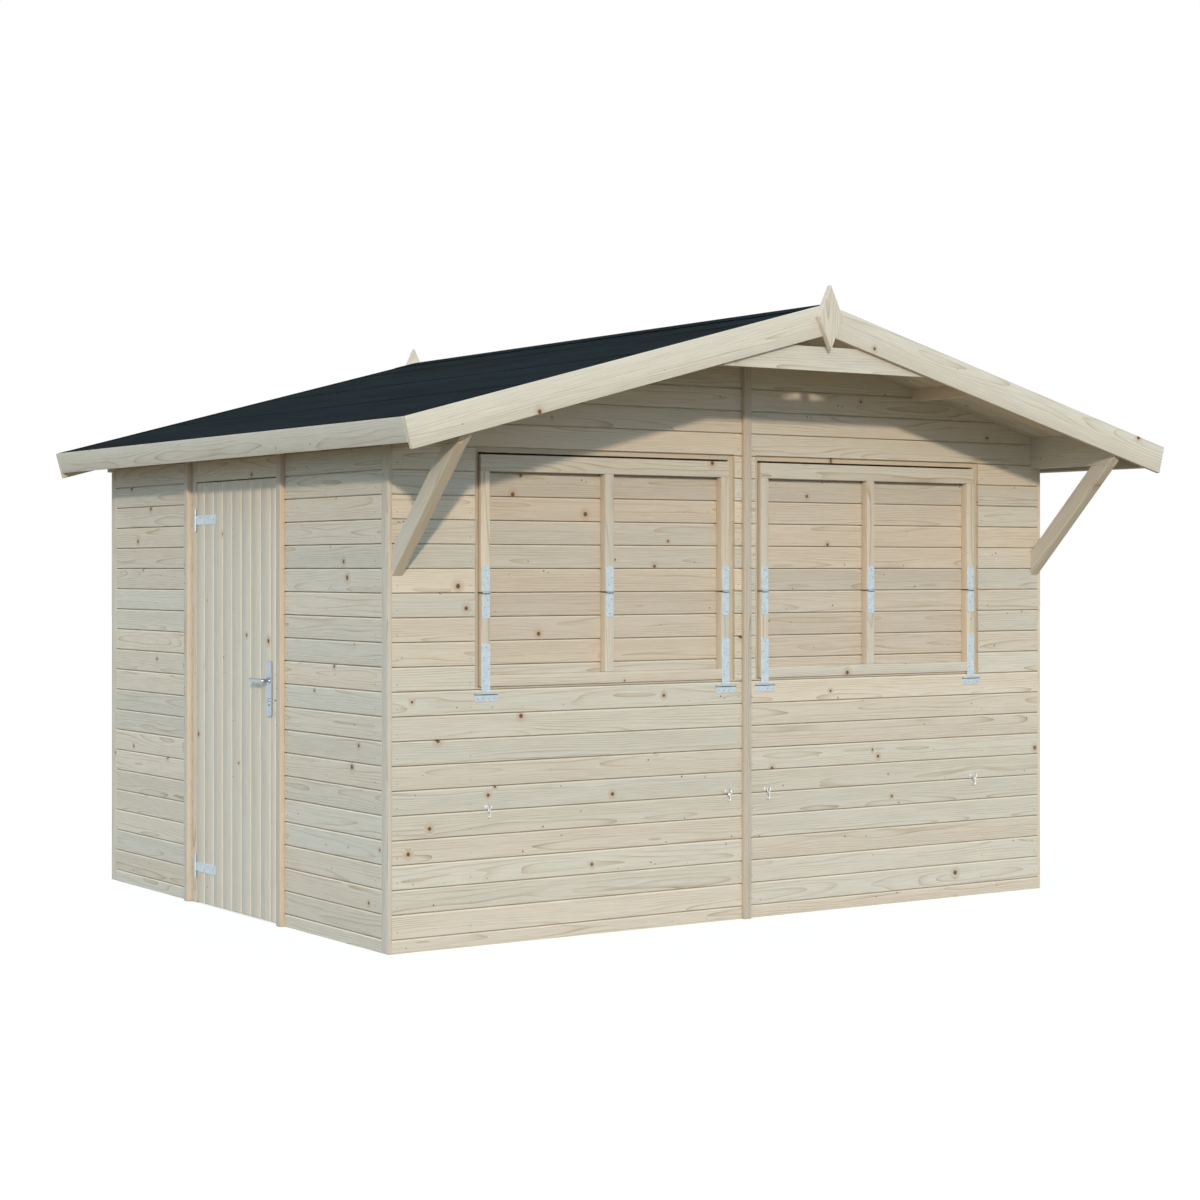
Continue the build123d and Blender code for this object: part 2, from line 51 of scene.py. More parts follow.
def linear(code):
    """Linear colour of an sRGB code: c goes to ((c + 0.055) / 1.055) ** 2.4 above the toe."""
    c = np.array([int(code[place : place + 2], 16) for place in (1, 3, 5)]) / 255
    curve = np.where(c > 0.04045, ((c + 0.055) / 1.055) ** 2.4, c / 12.92)
    return (*curve.tolist(), 1.0)


def connect(owner, name, inputs):
    """Gives inputs of a material's or world's named node their values or links."""
    node = owner.node_tree.nodes[name]
    for key, value in inputs.items():
        if isinstance(value, bpy.types.NodeSocket):
            owner.node_tree.links.new(value, node.inputs[key])
        else:
            node.inputs[key].default_value = value


def add(owner, kind, inputs=None, **settings):
    """Adds one shader node to a material or world, with its settings, values and links."""
    node = owner.node_tree.nodes.new("ShaderNode" + kind)
    for name, value in settings.items():
        setattr(node, name, value)
    connect(owner, node.name, inputs or {})
    return node


def substance(name):
    """New material, ready for nodes."""
    material = bpy.data.materials.new(name)
    material.use_nodes = True
    return material


def knots(material, grain, cell, channel, share, radius):
    """Distance from the nearest knot, divided by that knot's radius.

    Each cell draws a lot. Lots under the share have no knot, and above it the radius grows
    with the lot up to the full radius.
    """
    inputs = {"Vector": grain, "Scale": 1 / cell}
    cells = add(material, "TexVoronoi", inputs, voronoi_dimensions="2D").outputs
    lot = add(material, "SeparateColor", {"Color": cells["Color"]}).outputs[channel]
    sizes = {0: lot, 1: share, 2: 1.0, 3: 0.0001, 4: radius / cell}
    size = add(material, "MapRange", sizes).outputs[0]
    return add(material, "Math", {0: cells["Distance"], 1: size}, operation="DIVIDE").outputs[0]


def spruce(name, early, late, roughness, relief):
    """Spruce as it is sawn from a log: growth rings round the pith, fibres and knots.

    The grain attribute holds a board's own coordinates in metres, along, across and
    out from the pith, so the ring number is the distance from the pith over the ring width.
    """
    ring_width = 0.0048
    material = substance(name)
    grain = add(material, "Attribute", attribute_name="grain").outputs["Vector"]
    tone = add(material, "Attribute", attribute_name="tone").outputs["Fac"]
    side = add(material, "Attribute", attribute_name="side").outputs["Fac"]

    # Branch knots: one to a cell of 300 mm, and just under half of the cells have none
    nearness = knots(material, grain, 0.30, "Red", 0.45, 0.0105)
    knot = add(material, "MapRange", {0: nearness, 1: 1.15, 2: 0.7, 3: 0.0, 4: 1.0}).outputs[0]
    halo = add(material, "MapRange", {0: nearness, 1: 3.4, 2: 0.9, 3: 0.0, 4: 1.0}).outputs[0]
    # Pin knots of a few millimetres, in one out of four cells of 115 mm
    pin_near = knots(material, grain, 0.115, "Green", 0.74, 0.0040)
    pin = add(material, "MapRange", {0: pin_near, 1: 1.3, 2: 0.5, 3: 0.0, 4: 1.0}).outputs[0]

    # Three drawn-out noises: a slow wave, patches of stronger rings, and the fibres. The
    # fibres are 3 mm apart where real ones are finer, so that they show
    layers = []
    for stretch, detail in (
        ((0.9, 7.0, 7.0), 2.0),
        ((2.2, 30.0, 30.0), 1.0),
        ((9.0, 330.0, 330.0), 3.0),
    ):
        drawn = add(material, "VectorMath", {0: grain, 1: stretch}, operation="MULTIPLY")
        inputs = {"Vector": drawn.outputs[0], "Scale": 1.0, "Detail": detail}
        layers.append(add(material, "TexNoise", inputs).outputs[0])
    wave, patchy, fibre = layers

    # Growth rings, waving along the board so that flat-sawn faces show arches
    across = add(material, "VectorMath", {0: grain, 1: (0.0, 1.0, 1.0)}, operation="MULTIPLY")
    pith = add(material, "VectorMath", {0: across.outputs[0]}, operation="LENGTH")
    bowed = add(
        material, "Math", {0: wave, 1: 0.040, 2: pith.outputs["Value"]}, operation="MULTIPLY_ADD"
    ).outputs[0]
    parted = add(
        material, "Math", {0: halo, 1: 0.006, 2: bowed}, operation="MULTIPLY_ADD"
    ).outputs[0]
    number = add(material, "Math", {0: parted, 1: ring_width}, operation="DIVIDE").outputs[0]
    within = add(material, "Math", {0: number}, operation="FRACT").outputs[0]
    ring = add(material, "Math", {0: within, 1: 5.5}, operation="POWER").outputs[0]
    strength = add(
        material, "MapRange", {0: patchy, 1: 0.3, 2: 0.75, 3: 0.15, 4: 0.85}
    ).outputs[0]
    shown = add(material, "Math", {0: ring, 1: strength}, operation="MULTIPLY").outputs[0]

    # Each board leans to one of two tints of early wood, and is a little lighter or darker
    turns = add(material, "Math", {0: tone, 1: 7.31}, operation="MULTIPLY").outputs[0]
    lean = add(material, "Math", {0: turns}, operation="FRACT").outputs[0]
    streak = add(material, "MapRange", {0: fibre, 1: 0.3, 2: 0.7, 3: 0.91, 4: 1.08}).outputs[0]
    shade = add(material, "MapRange", {0: tone, 1: 0.0, 2: 1.0, 3: 0.94, 4: 1.055}).outputs[0]
    value = add(material, "Math", {0: streak, 1: shade}, operation="MULTIPLY").outputs[0]
    # Painted light: narrow sides and end faces (side 1) get a peach tint as painted warm shade, and
    # bevels (side -1) are painted pale as a painted highlight
    bounce_shade = add(material, "MapRange", {0: side, 1: 0.0, 2: 1.0, 3: 0.0, 4: 0.40}).outputs[0]
    bevel_highlight = add(material, "MapRange", {0: side, 1: 0.0, 2: -1.0, 3: 0.0, 4: 0.6}).outputs[0]
    tint = linear(early[0])
    for factor, code in ((lean, early[1]), (shown, late), (bounce_shade, "#DFCCB6"), (bevel_highlight, "#F3E6D2")):
        inputs = {0: factor, 6: tint, 7: linear(code)}
        tint = add(material, "Mix", inputs, data_type="RGBA").outputs[2]
    tint = add(material, "HueSaturation", {"Color": tint, "Value": value}).outputs[0]
    # Resin stains the wood round a knot, and the knots themselves are dark
    stain = add(material, "Math", {0: halo, 1: 0.42}, operation="MULTIPLY").outputs[0]
    for factor, code in ((stain, "#B08A5E"), (knot, "#6B4B30"), (pin, "#5A4433")):
        inputs = {0: factor, 6: tint, 7: linear(code)}
        tint = add(material, "Mix", inputs, data_type="RGBA").outputs[2]

    # Late wood stands lower than the fibres after planing
    height = add(material, "Math", {0: ring, 1: -0.5, 2: fibre}, operation="MULTIPLY_ADD")
    bump = add(
        material, "Bump", {"Height": height.outputs[0], "Strength": 0.5, "Distance": relief}
    ).outputs[0]
    dull = add(
        material, "MapRange", {0: fibre, 1: 0.3, 2: 0.7, 3: roughness + 0.07, 4: roughness - 0.05}
    ).outputs[0]
    surface = {"Base Color": tint, "Roughness": dull, "Normal": bump, "IOR": 1.5}
    connect(material, "Principled BSDF", surface)
    return material


# Sawn spruce: furry from the saw, so it is dull and a little yellower than planed boards
sawn_spruce = spruce("sawn_spruce", ("#D0C6B2", "#C9C2B0"), "#A8926D", 0.78, 0.0010)


def eased(corners, ease):
    """Outline whose corners C are swapped for (1 - t)^2 A + 2 t (1 - t) C + t^2 B.

    A and B lie the ease away from the corner, along its two edges.
    """
    corners = np.asarray(corners, float)
    back = np.roll(corners, 1, axis=0) - corners
    ahead = np.roll(corners, -1, axis=0) - corners
    first = corners + ease * back / np.linalg.norm(back, axis=1)[:, None]
    last = corners + ease * ahead / np.linalg.norm(ahead, axis=1)[:, None]
    t = np.array([0.0, 0.5, 1.0])[None, :, None]
    curve = (1 - t) ** 2 * first[:, None] + t**2 * last[:, None]
    curve = curve + 2 * t * (1 - t) * corners[:, None]
    return curve.reshape(-1, 2)


def oblong(across, out, ease=0.0025):
    """Eased rectangle between two places across and two places out."""
    corners = [(across[0], out[0]), (across[1], out[0]), (across[1], out[1]), (across[0], out[1])]
    return eased(corners, ease)


def skin(grid):
    """Closed skin over rings of points: each quad joins neighbours on two rings, ends are capped."""
    rings, around = grid.shape[:2]
    start = np.arange(rings - 1)[:, None] * around
    here = np.arange(around)[None]
    following = (here + 1) % around
    corners = [start + here, start + following, start + around + following, start + around + here]
    quads = np.stack(corners, axis=-1).reshape(-1, 4)
    count = rings * around
    return {
        "points": grid.reshape(-1, 3),
        "quads": quads,
        "caps": [here[0][::-1], count - around + here[0]],
        "grain": np.zeros((count, 3)),
        "tone": np.full(count, 0.5),
        "side": np.zeros(len(quads) + 2),
    }


def log_cut():
    """Where a board lay in its log, along, beside and off the pith, and how light it is."""
    place = (chance.uniform(0, 60), chance.uniform(-0.05, 0.05), chance.uniform(0.03, 0.10))
    return np.array(place), chance.uniform()


def timber(axes, origin, outline, low, high, ends=(0.002, 0.002), cut=None, centre=None, fibre=0):
    """Outline carried along a straight run.

    A point is origin + s along + a across + b out. (a, b) goes round the outline and s steps
    from low to high, which may differ round the outline where an end is cut askew. The rings
    at the ends are drawn in by the ease, so that every arris is broken. The board's face is
    the wider way, also where the board is on edge. Its narrow sides are marked 1, and its
    bevels between 2 and 12 mm are marked -1.
    """
    axes = np.asarray(axes, float)
    outline = np.asarray(outline, float)
    low = np.broadcast_to(np.asarray(low, float), len(outline))
    high = np.broadcast_to(np.asarray(high, float), len(outline))
    a, b = outline.T
    area = np.sum(a * np.roll(b, -1) - np.roll(a, -1) * b)
    if area * np.linalg.det(axes) < 0:
        outline, low, high = outline[::-1], low[::-1], high[::-1]
    middle = (outline.max(axis=0) + outline.min(axis=0)) / 2
    half = (outline.max(axis=0) - outline.min(axis=0)) / 2
    inner = [outline - (outline - middle) * np.minimum(ease / half, 0.9) for ease in ends]
    rings = [np.column_stack([low, inner[0]])]
    if ends[0]:
        rings.append(np.column_stack([low + ends[0], outline]))
    if ends[1]:
        rings.append(np.column_stack([high - ends[1], outline]))
    rings.append(np.column_stack([high, inner[1]]))
    local = np.stack(rings)
    run = skin(local @ axes + np.asarray(origin, float))
    place, tone = cut if cut else log_cut()
    centre = middle if centre is None else np.asarray(centre)
    shifted = local.reshape(-1, 3) - np.array([0.0, *centre])
    on_edge = half[1] > 1.5 * half[0]
    order = [0, 2, 1] if on_edge else [0, 1, 2]
    run["grain"] = np.roll(shifted[:, order], -fibre, axis=1) + place
    run["tone"] = np.full(len(run["points"]), tone)
    edge = np.abs(np.roll(outline, -1, axis=0) - outline)
    edge = edge[:, ::-1] if on_edge else edge
    narrow = (edge[:, 1] > edge[:, 0]).astype(float)
    narrow[(edge.min(axis=1) > 0.002) & (edge.max(axis=1) < 0.012)] = -1.0
    run["side"] = np.concatenate([np.tile(narrow, len(rings) - 1), [float(fibre == 0)] * 2])
    return run


def gather(name, runs, finish, *nodes, body="hut", slot="spruce"):
    """Joins runs into one piece: their arrays are stacked and face numbers move on by the count."""
    firsts = np.cumsum([0] + [len(run["points"]) for run in runs])
    faces = []
    for run, first in zip(runs, firsts):
        faces += (run["quads"] + first).tolist()
        faces += [(cap + first).tolist() for cap in run["caps"]]
    mesh = bpy.data.meshes.new(name)
    mesh.from_pydata(np.concatenate([run["points"] for run in runs]).tolist(), [], faces)
    for key, kind, domain, field in (
        ("grain", "FLOAT_VECTOR", "POINT", "vector"),
        ("tone", "FLOAT", "POINT", "value"),
        ("side", "FLOAT", "FACE", "value"),
    ):
        values = np.concatenate([run[key] for run in runs])
        mesh.attributes.new(key, kind, domain).data.foreach_set(field, values.ravel())
    mesh.shade_smooth()
    mesh.set_sharp_from_angle(angle=np.radians(34))
    mesh.materials.append(finish)
    piece = bpy.data.objects.new(name, mesh)
    bpy.context.scene.collection.objects.link(piece)
    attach(piece, body)
    if nodes:
        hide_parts(*nodes)


def solids(node):
    """Lowest and highest corner of each solid in a CAD node.

    Corners at one place get one number, and each triangle hands its lowest number round
    until nothing changes, so that every solid ends with a number of its own.
    """
    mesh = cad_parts[node].data
    points = np.empty(len(mesh.vertices) * 3)
    mesh.vertices.foreach_get("co", points)
    points = points.reshape(-1, 3)
    index = np.empty(len(mesh.loops), int)
    mesh.loops.foreach_get("vertex_index", index)
    same = np.unique(np.round(points * 1e5), axis=0, return_inverse=True)[1].ravel()
    triangles = same[index].reshape(-1, 3)
    label = np.arange(same.max() + 1)
    while True:
        lowest = np.repeat(label[triangles].min(axis=1), 3)
        spread = label.copy()
        np.minimum.at(spread, triangles.ravel(), lowest)
        if np.array_equal(spread, label):
            break
        label = spread
    owner = label[same]
    return [
        (points[owner == each].min(axis=0), points[owner == each].max(axis=0))
        for each in np.unique(owner)
    ]


def square_sawn(node, ease=0.0025):
    """Timbers that fill the boxes of a CAD node, with their fibres along the longest side."""
    runs = []
    for low, high in solids(node):
        longest = int(np.argmax(high - low))
        axes = np.roll(np.eye(3), -longest, axis=0)
        low, high = axes @ low, axes @ high
        outline = oblong((low[1], high[1]), (low[2], high[2]), ease)
        runs.append(timber(axes, (0, 0, 0), outline, low[0], high[0]))
    return runs


gather("joists", square_sawn("floor_joists"), sawn_spruce, "floor_joists")


# Floor boards
# Planed spruce boards, 19 mm thick and about 110 mm wide, laid across the joists
# with a narrow V where they meet, and stopped short of the wall plates.

# Planed spruce: fresh from the planer, pale with a silky sheen
planed_spruce = spruce("planed_spruce", ("#DFD3C3", "#D4D0C6"), "#A0875F", 0.66, 0.0007)

floor_low, floor_high = (np.array(corner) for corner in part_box("floor_deck"))
floor_count = 23
floor_thick = 0.019
floor_gap = 0.0004
floor_step = (floor_high[1] - floor_low[1]) / floor_count
floor_outline = oblong((floor_gap, floor_step - floor_gap), (0, floor_thick), 0.0022)
floor_runs = []
for place in range(floor_count):
    origin = (0, floor_low[1] + floor_step * place, floor_low[2])
    floor_runs.append(timber(np.eye(3), origin, floor_outline, floor_low[0], floor_high[0]))
gather("floor_boards", floor_runs, planed_spruce, "floor_deck")


# Wall framing
# Studs, sole plates, rails and closing strips of sawn spruce, 45 mm thick, nailed
# together as panels. They show through the open door and hatches.

for node in ("wall_studs", "wall_rails", "stop_strips"):
    gather(node.replace("wall", "panel"), square_sawn(node, 0.0015), sawn_spruce, node)


# Wall boarding
# Planed shiplap boards, 16 mm thick, nailed level across the studs with 94 mm showing.
# Each lower lip hides the tongue below it and leaves a narrow dark joint over a bevel painted pale
# as a painted highlight.

board_step = 0.094
board_thick = 0.016
first_joint = 0.055
lip_arris = 0.0012
lip_rise = 0.0075
lip_thick = 0.0085
tongue_rise = 0.0065
tongue_face = 0.0120
joint_height = 0.0040
bevel_foot = 0.0086
bevel_depth = 0.0040
butt = 0.001

front_y = -1.125
rear_y = 1.555
half_width = 1.7
wall_top = 2.044
pitch = np.radians(15)
roof_under = wall_top + half_width * np.tan(pitch)
beam_bottom = 1.919
beam_sides = (1.639, 1.684)
beam_course = int((beam_bottom - first_joint) / board_step)
eave_bend = roof_under - beam_sides[0] * np.tan(pitch)


def weatherboard(course, low, high):
    """Outline of one shiplap board as (height, out), cut off at two levels.

    From the lower lip the face rises plumb, bevels in at the joint and steps back to the
    tongue, which stands behind the next lip. The board at the eaves has one more point on
    each face, where its end turns from the beam up the slope. Points that the cut brings
    together or into line are dropped.
    """
    top = board_step
    points = np.array(
        [
            (lip_arris, 0.0),
            (0.0, -lip_arris),
            (0.0, -lip_thick),
            (lip_rise, -lip_thick),
            (lip_rise, -board_thick),
            (top + tongue_rise, -board_thick),
            (top + tongue_rise, -tongue_face),
            (top - joint_height, -tongue_face),
            (top - joint_height, -bevel_depth),
            (top - bevel_foot, 0.0),
        ]
    )
    points[:, 0] += first_joint + course * board_step
    if points[4, 0] < eave_bend < points[-1, 0]:
        bends = [(eave_bend, -board_thick), (eave_bend, 0.0)]
        points = np.insert(points, [5, len(points)], bends, axis=0)
    points[:, 0] = np.clip(points[:, 0], low, high)
    moved = np.abs(points - np.roll(points, 1, axis=0)).max(axis=1) > 1e-6
    points = points[moved]
    back = points - np.roll(points, 1, axis=0)
    ahead = np.roll(points, -1, axis=0) - points
    turn = back[:, 0] * ahead[:, 1] - back[:, 1] * ahead[:, 0]
    return points[(np.abs(turn) > 1e-9) | (points[:, 0] == eave_bend)]


def courses(low, high):
    """Numbers of the boards that lie between two levels, but for a last one under 7 mm."""
    least_board = 0.007
    first = int(np.floor((low - first_joint) / board_step + 1e-6))
    last = int(np.ceil((high - least_board - first_joint) / board_step))
    return range(first, last)


def shiplap(axes, origin, course, span, start, end, cut, ends=(0.001, 0.001)):
    """One board between two levels. start and end may be functions of the height."""
    outline = weatherboard(course, *span)
    sliver = 0.002
    if len(outline) < 3 or np.ptp(outline[:, 0]) < sliver:
        return []
    start = start(outline[:, 0]) if callable(start) else start
    end = end(outline[:, 0]) if callable(end) else end
    middle = (first_joint + (course + 0.5) * board_step, -board_thick / 2)
    return [timber(axes, origin, outline, start, end, ends, cut, middle)]


def gable_end(height):
    """How far a gable board reaches: to the corner, the eave beam or the slope of the roof."""
    corner = beam_sides[int(height.max() < beam_bottom)]
    return np.minimum(corner, np.maximum((roof_under - height) / np.tan(pitch), butt))


front_axes = [(1, 0, 0), (0, 0, 1), (0, -1, 0)]
mirror_axes = [(-1, 0, 0), (0, 0, 1), (0, -1, 0)]
sill = 0.998
head = 1.938
opening = (0.055, 1.317)
peak_gap = 0.01
gable_span = (0, roof_under - peak_gap)
beside = ((butt, opening[0]), (opening[1], gable_end))
front_runs = []
for axes in (front_axes, mirror_axes):
    for course in courses(0, roof_under):
        cut = log_cut()
        foot = first_joint + course * board_step
        place = (axes, (0, front_y, 0), course)
        if course == beam_course:
            front_runs += shiplap(*place, (0, beam_bottom), *beam_sides, cut, (0, 0.001))
        if foot + board_step <= sill or foot >= head:
            front_runs += shiplap(*place, gable_span, butt, gable_end, cut)
            continue
        for edges in beside:
            front_runs += shiplap(*place, (0, head), *edges, cut)
        front_runs += shiplap(*place, (0, sill), *opening, cut, (0, 0))
        for edges in (opening, *beside):
            front_runs += shiplap(*place, (head, head + 1), *edges, cut, (0, 0))
front_nodes = ("front_skirts", "front_cheeks", "front_gables")
gather("front_boarding", front_runs, planed_spruce, *front_nodes)

rear_runs = []
for axes in ([(1, 0, 0), (0, 0, 1), (0, 1, 0)], [(-1, 0, 0), (0, 0, 1), (0, 1, 0)]):
    for course in courses(0, roof_under):
        cut = log_cut()
        place = (axes, (0, rear_y, 0), course)
        if course == beam_course:
            rear_runs += shiplap(*place, (0, beam_bottom), *beam_sides, cut, (0, 0.001))
        rear_runs += shiplap(*place, gable_span, butt, gable_end, cut)
gather("rear_boarding", rear_runs, planed_spruce, "rear_panels")

left_axes = [(0, 1, 0), (0, 0, 1), (-1, 0, 0)]
right_axes = [(0, 1, 0), (0, 0, 1), (1, 0, 0)]
doorway = (0.949 + front_y, 1.729 + front_y)
jamb = 0.044
jambs_outer = (doorway[0] - jamb, doorway[1] + jamb)
lintel = 1.843
lintel_lap = 0.002
corner = 0.055
left_runs = []
header_runs = []
for course in courses(0, wall_top):
    place = (left_axes, (-half_width, 0, 0), course, (0, wall_top))
    left_runs += shiplap(*place, front_y + corner, jambs_outer[0], log_cut())
    left_runs += shiplap(*place, jambs_outer[1], rear_y - corner, log_cut())
for course in courses(lintel, wall_top):
    place = (left_axes, (-half_width, 0, 0), course, (lintel - lintel_lap, wall_top))
    header_runs += shiplap(*place, *doorway, log_cut())
gather("left_boarding", left_runs, planed_spruce, "left_panels")
gather("lintel_boarding", header_runs, planed_spruce, "door_header")

right_runs = []
right_middle = (front_y + rear_y) / 2
for course in courses(0, wall_top):
    place = (right_axes, (half_width, 0, 0), course, (0, wall_top))
    right_runs += shiplap(*place, front_y + corner, right_middle - butt, log_cut())
    right_runs += shiplap(*place, right_middle + butt, rear_y - corner, log_cut())
gather("right_boarding", right_runs, planed_spruce, "right_panels")


# Corner boards, jamb strips and cover battens
# Planed strips with eased edges. The corner boards close the side walls, the battens
# cover the panel joints, and two thicker ones stand outside the jambs of the door.

# Shaded spruce: a yellower and darker copy of the planed spruce. It is painted shade on the hatch
# boards, which stand back behind the stiles, and the darker tone of the cover battens
shaded_spruce = spruce("shaded_spruce", ("#D4C6B6", "#C9C2B7"), "#9E855C", 0.66, 0.0007)

gather("corner_strips", square_sawn("corner_boards"), planed_spruce, "corner_boards")
gather("jamb_strips", square_sawn("door_jambs"), planed_spruce, "door_jambs")
gather("joint_battens", square_sawn("cover_battens", 0.003), shaded_spruce, "cover_battens")


# Eave beams and braces
# Planed beams along the side walls that run out under the front overhang. A brace at
# 45 degrees is half-lapped into the inner side of each and plumb-cut at the wall.

front_overhang = 0.520
rear_overhang = 0.090
overhang = (front_y - front_overhang, rear_y + rear_overhang)
brace_rise = 0.485
brace_depth = 0.075
lap = 0.030
lap_proud = 0.0004
lap_deep = 0.0225
lap_sides = (beam_sides[0] - lap_proud, beam_sides[0] + lap_deep)
timber_ease = 0.003
climb = np.sqrt(0.5)
brace_length = brace_rise / climb
beam_axes = [(0, 1, 0), (1, 0, 0), (0, 0, 1)]


def roof_at(x):
    """Height of the roof boards' underside at a distance from the ridge."""
    return roof_under - abs(x) * np.tan(pitch)


beam_runs = []
brace_runs = []
splay_top = beam_bottom + front_y - brace_rise - overhang[0]
for hand in (1, -1):
    corners = [
        (hand * beam_sides[0], beam_bottom),
        (hand * beam_sides[1], beam_bottom),
        (hand * beam_sides[1], splay_top),
        (hand * beam_sides[1], roof_at(beam_sides[1])),
        (hand * beam_sides[0], roof_at(beam_sides[0])),
        (hand * beam_sides[0], splay_top),
    ]
    outline = eased(corners, timber_ease)
    splay = overhang[0] + np.maximum(splay_top - outline[:, 1], 0)
    beam_runs.append(timber(beam_axes, (0, 0, 0), outline, splay, overhang[1]))
    brace_axes = [(0, -climb, climb), (hand, 0, 0), (0, climb, climb)]
    place = (brace_axes, (0, front_y, beam_bottom - brace_rise))
    cut = log_cut()
    outline = oblong(beam_sides, (0, brace_depth), timber_ease)
    rise = outline[:, 1]
    brace_runs.append(timber(*place, outline, rise, brace_length - rise, cut=cut))
    inner = oblong(lap_sides, (0, brace_depth), 0.001)
    start = brace_length - inner[:, 1]
    brace_runs.append(timber(*place, inner, start, start + lap / climb, (0, 0.001), cut))
gather("eave_beam_timbers", beam_runs, planed_spruce, "eave_beams")
gather("brace_timbers", brace_runs, planed_spruce, "eave_braces")


# Purlins
# A ridge beam with a bevelled back and one purlin halfway down each slope, planed and
# let through both gables, so that their ends show under the overhang.

eave_overhang = 0.233
eave_x = half_width + eave_overhang
ridge_depth = 0.092
purlin_depth = 0.040
purlin_half = 0.0225
purlin_share = 0.49
purlin_middle = purlin_share * eave_x
near = purlin_middle - purlin_half
far = purlin_middle + purlin_half
purlin_corners = [
    [
        (-purlin_half, roof_under - ridge_depth),
        (purlin_half, roof_under - ridge_depth),
        (purlin_half, roof_at(purlin_half)),
        (0, roof_under),
        (-purlin_half, roof_at(purlin_half)),
    ]
]
for hand in (1, -1):
    purlin_corners.append(
        [
            (hand * near, roof_at(far) - purlin_depth),
            (hand * far, roof_at(far) - purlin_depth),
            (hand * far, roof_at(far)),
            (hand * near, roof_at(near)),
        ]
    )
purlin_runs = [
    timber(beam_axes, (0, 0, 0), eased(corners, timber_ease), *overhang)
    for corners in purlin_corners
]
gather("purlin_timbers", purlin_runs, planed_spruce, "roof_purlins")


# Roof boarding
# Planed boards, 17 mm thick, nailed down the slope on the purlins. Their undersides have
# V joints, which show under the overhang and from inside.

felt = 0.003
roof_board = 0.017
edge_board = 0.020
ridge_top = roof_under + (felt + roof_board) / np.cos(pitch)
slope_length = eave_x / np.cos(pitch)
roof_count = 36
roof_step = (overhang[1] - overhang[0]) / roof_count
roof_gap = 0.0003
roof_vee = 0.004
roof_low = -felt - roof_board
roof_outline = np.array(
    [
        (roof_gap, -felt),
        (roof_step - roof_gap, -felt),
        (roof_step - roof_gap, roof_low + roof_vee),
        (roof_step - roof_gap - roof_vee, roof_low),
        (roof_gap + roof_vee, roof_low),
        (roof_gap, roof_low + roof_vee),
    ]
)


def slope_axes(hand):
    """Directions of one slope: down it, to the rear, and square out of it."""
    down = (hand * np.cos(pitch), 0, -np.sin(pitch))
    up = (hand * np.sin(pitch), 0, np.cos(pitch))
    return [down, (0, 1, 0), up]


roof_start = -roof_outline[:, 1] * np.tan(pitch)
roof_end = slope_length - edge_board
for hand, node in ((1, "right_roof_deck"), (-1, "left_roof_deck")):
    runs = []
    for place in range(roof_count):
        origin = (0, overhang[0] + roof_step * place, ridge_top)
        board = (slope_axes(hand), origin, roof_outline, roof_start, roof_end)
        runs.append(timber(*board, (0, 0.001)))
    gather(node.replace("deck", "boards"), runs, planed_spruce, node)


# Roof felt
# Black bitumen felt with fine mineral grit, laid in lapped courses along the roof, with a
# cap over the ridge and strips along the barge boards and over the eave fascias.

# Bitumen felt: near black and dull, with faint blue-grey grit and paler rubbed streaks.
# The grit is of 2 mm, drawn at 6 mm so that it shows
grit_size = 0.006
bitumen_felt = substance("bitumen_felt")
felt_place = add(bitumen_felt, "TexCoord").outputs["Object"]
felt_rub = add(
    bitumen_felt, "VectorMath", {0: felt_place, 1: (9.0, 1.1, 9.0)}, operation="MULTIPLY"
).outputs[0]
felt_streak = add(
    bitumen_felt, "TexNoise", {"Vector": felt_rub, "Scale": 1.0, "Detail": 5.0, "Roughness": 0.6}
).outputs[0]
felt_grit = add(
    bitumen_felt,
    "TexNoise",
    {"Vector": felt_place, "Scale": 1 / grit_size, "Detail": 3.0, "Roughness": 0.7},
).outputs[0]
felt_worn = add(
    bitumen_felt, "Math", {0: felt_streak, 1: felt_grit}, operation="MULTIPLY"
).outputs[0]
felt_mix = add(
    bitumen_felt, "MapRange", {0: felt_worn, 1: 0.12, 2: 0.45, 3: 0.0, 4: 1.0}
).outputs[0]
felt_colour = add(
    bitumen_felt, "Mix", {0: felt_mix, 6: linear("#040D10"), 7: linear("#18282E")}, data_type="RGBA"
).outputs[2]
felt_bump = add(
    bitumen_felt, "Bump", {"Height": felt_grit, "Strength": 0.6, "Distance": 0.0015}
).outputs[0]
connect(
    bitumen_felt,
    "Principled BSDF",
    {"Base Color": felt_colour, "Roughness": 0.95, "Normal": felt_bump, "Specular IOR Level": 0.03},
)

felt_courses = 4
first_lap = 0.36
ridge_bed = -0.0018
course_top = -0.0010
course_foot = -0.0024
felt_ease = 0.0006
verge_strip = 0.05
verge_out = (-0.0016, 0.0004)
drip_cover = 0.06
drip_back = 0.004
drip_out = (-0.0006, 0.0009)
lap_edges = np.linspace(first_lap, roof_end, felt_courses)
lap_outs = np.tile([course_top, course_foot], felt_courses)
steps = np.column_stack([np.repeat(lap_edges, 2), lap_outs])
felt_section = np.concatenate(
    [[(0.0, -felt), (0.0, ridge_bed)], steps[:-1], [(lap_edges[-1], -felt)]]
)
drip = oblong((slope_length - drip_cover, slope_length - drip_back), drip_out, felt_ease)
felt_runs = []
for hand in (1, -1):
    down, rear, up = slope_axes(hand)
    along = ([rear, down, up], (0, 0, ridge_top))
    felt_runs.append(timber(*along, felt_section, *overhang, (0, 0)))
    for near in (overhang[0], overhang[1] - verge_strip):
        strip = oblong((near, near + verge_strip), verge_out, felt_ease)
        felt_runs.append(timber([down, rear, up], along[1], strip, 0.0, lap_edges[-1]))
    felt_runs.append(timber(*along, drip, *overhang, (0, 0)))
cap_reach = 0.13
cap_run = cap_reach * np.cos(pitch)
cap_fall = cap_reach * np.sin(pitch)
cap_thick = 0.0022
cap_under = -0.0004
cap_top = 0.0016
cap_round = 0.012
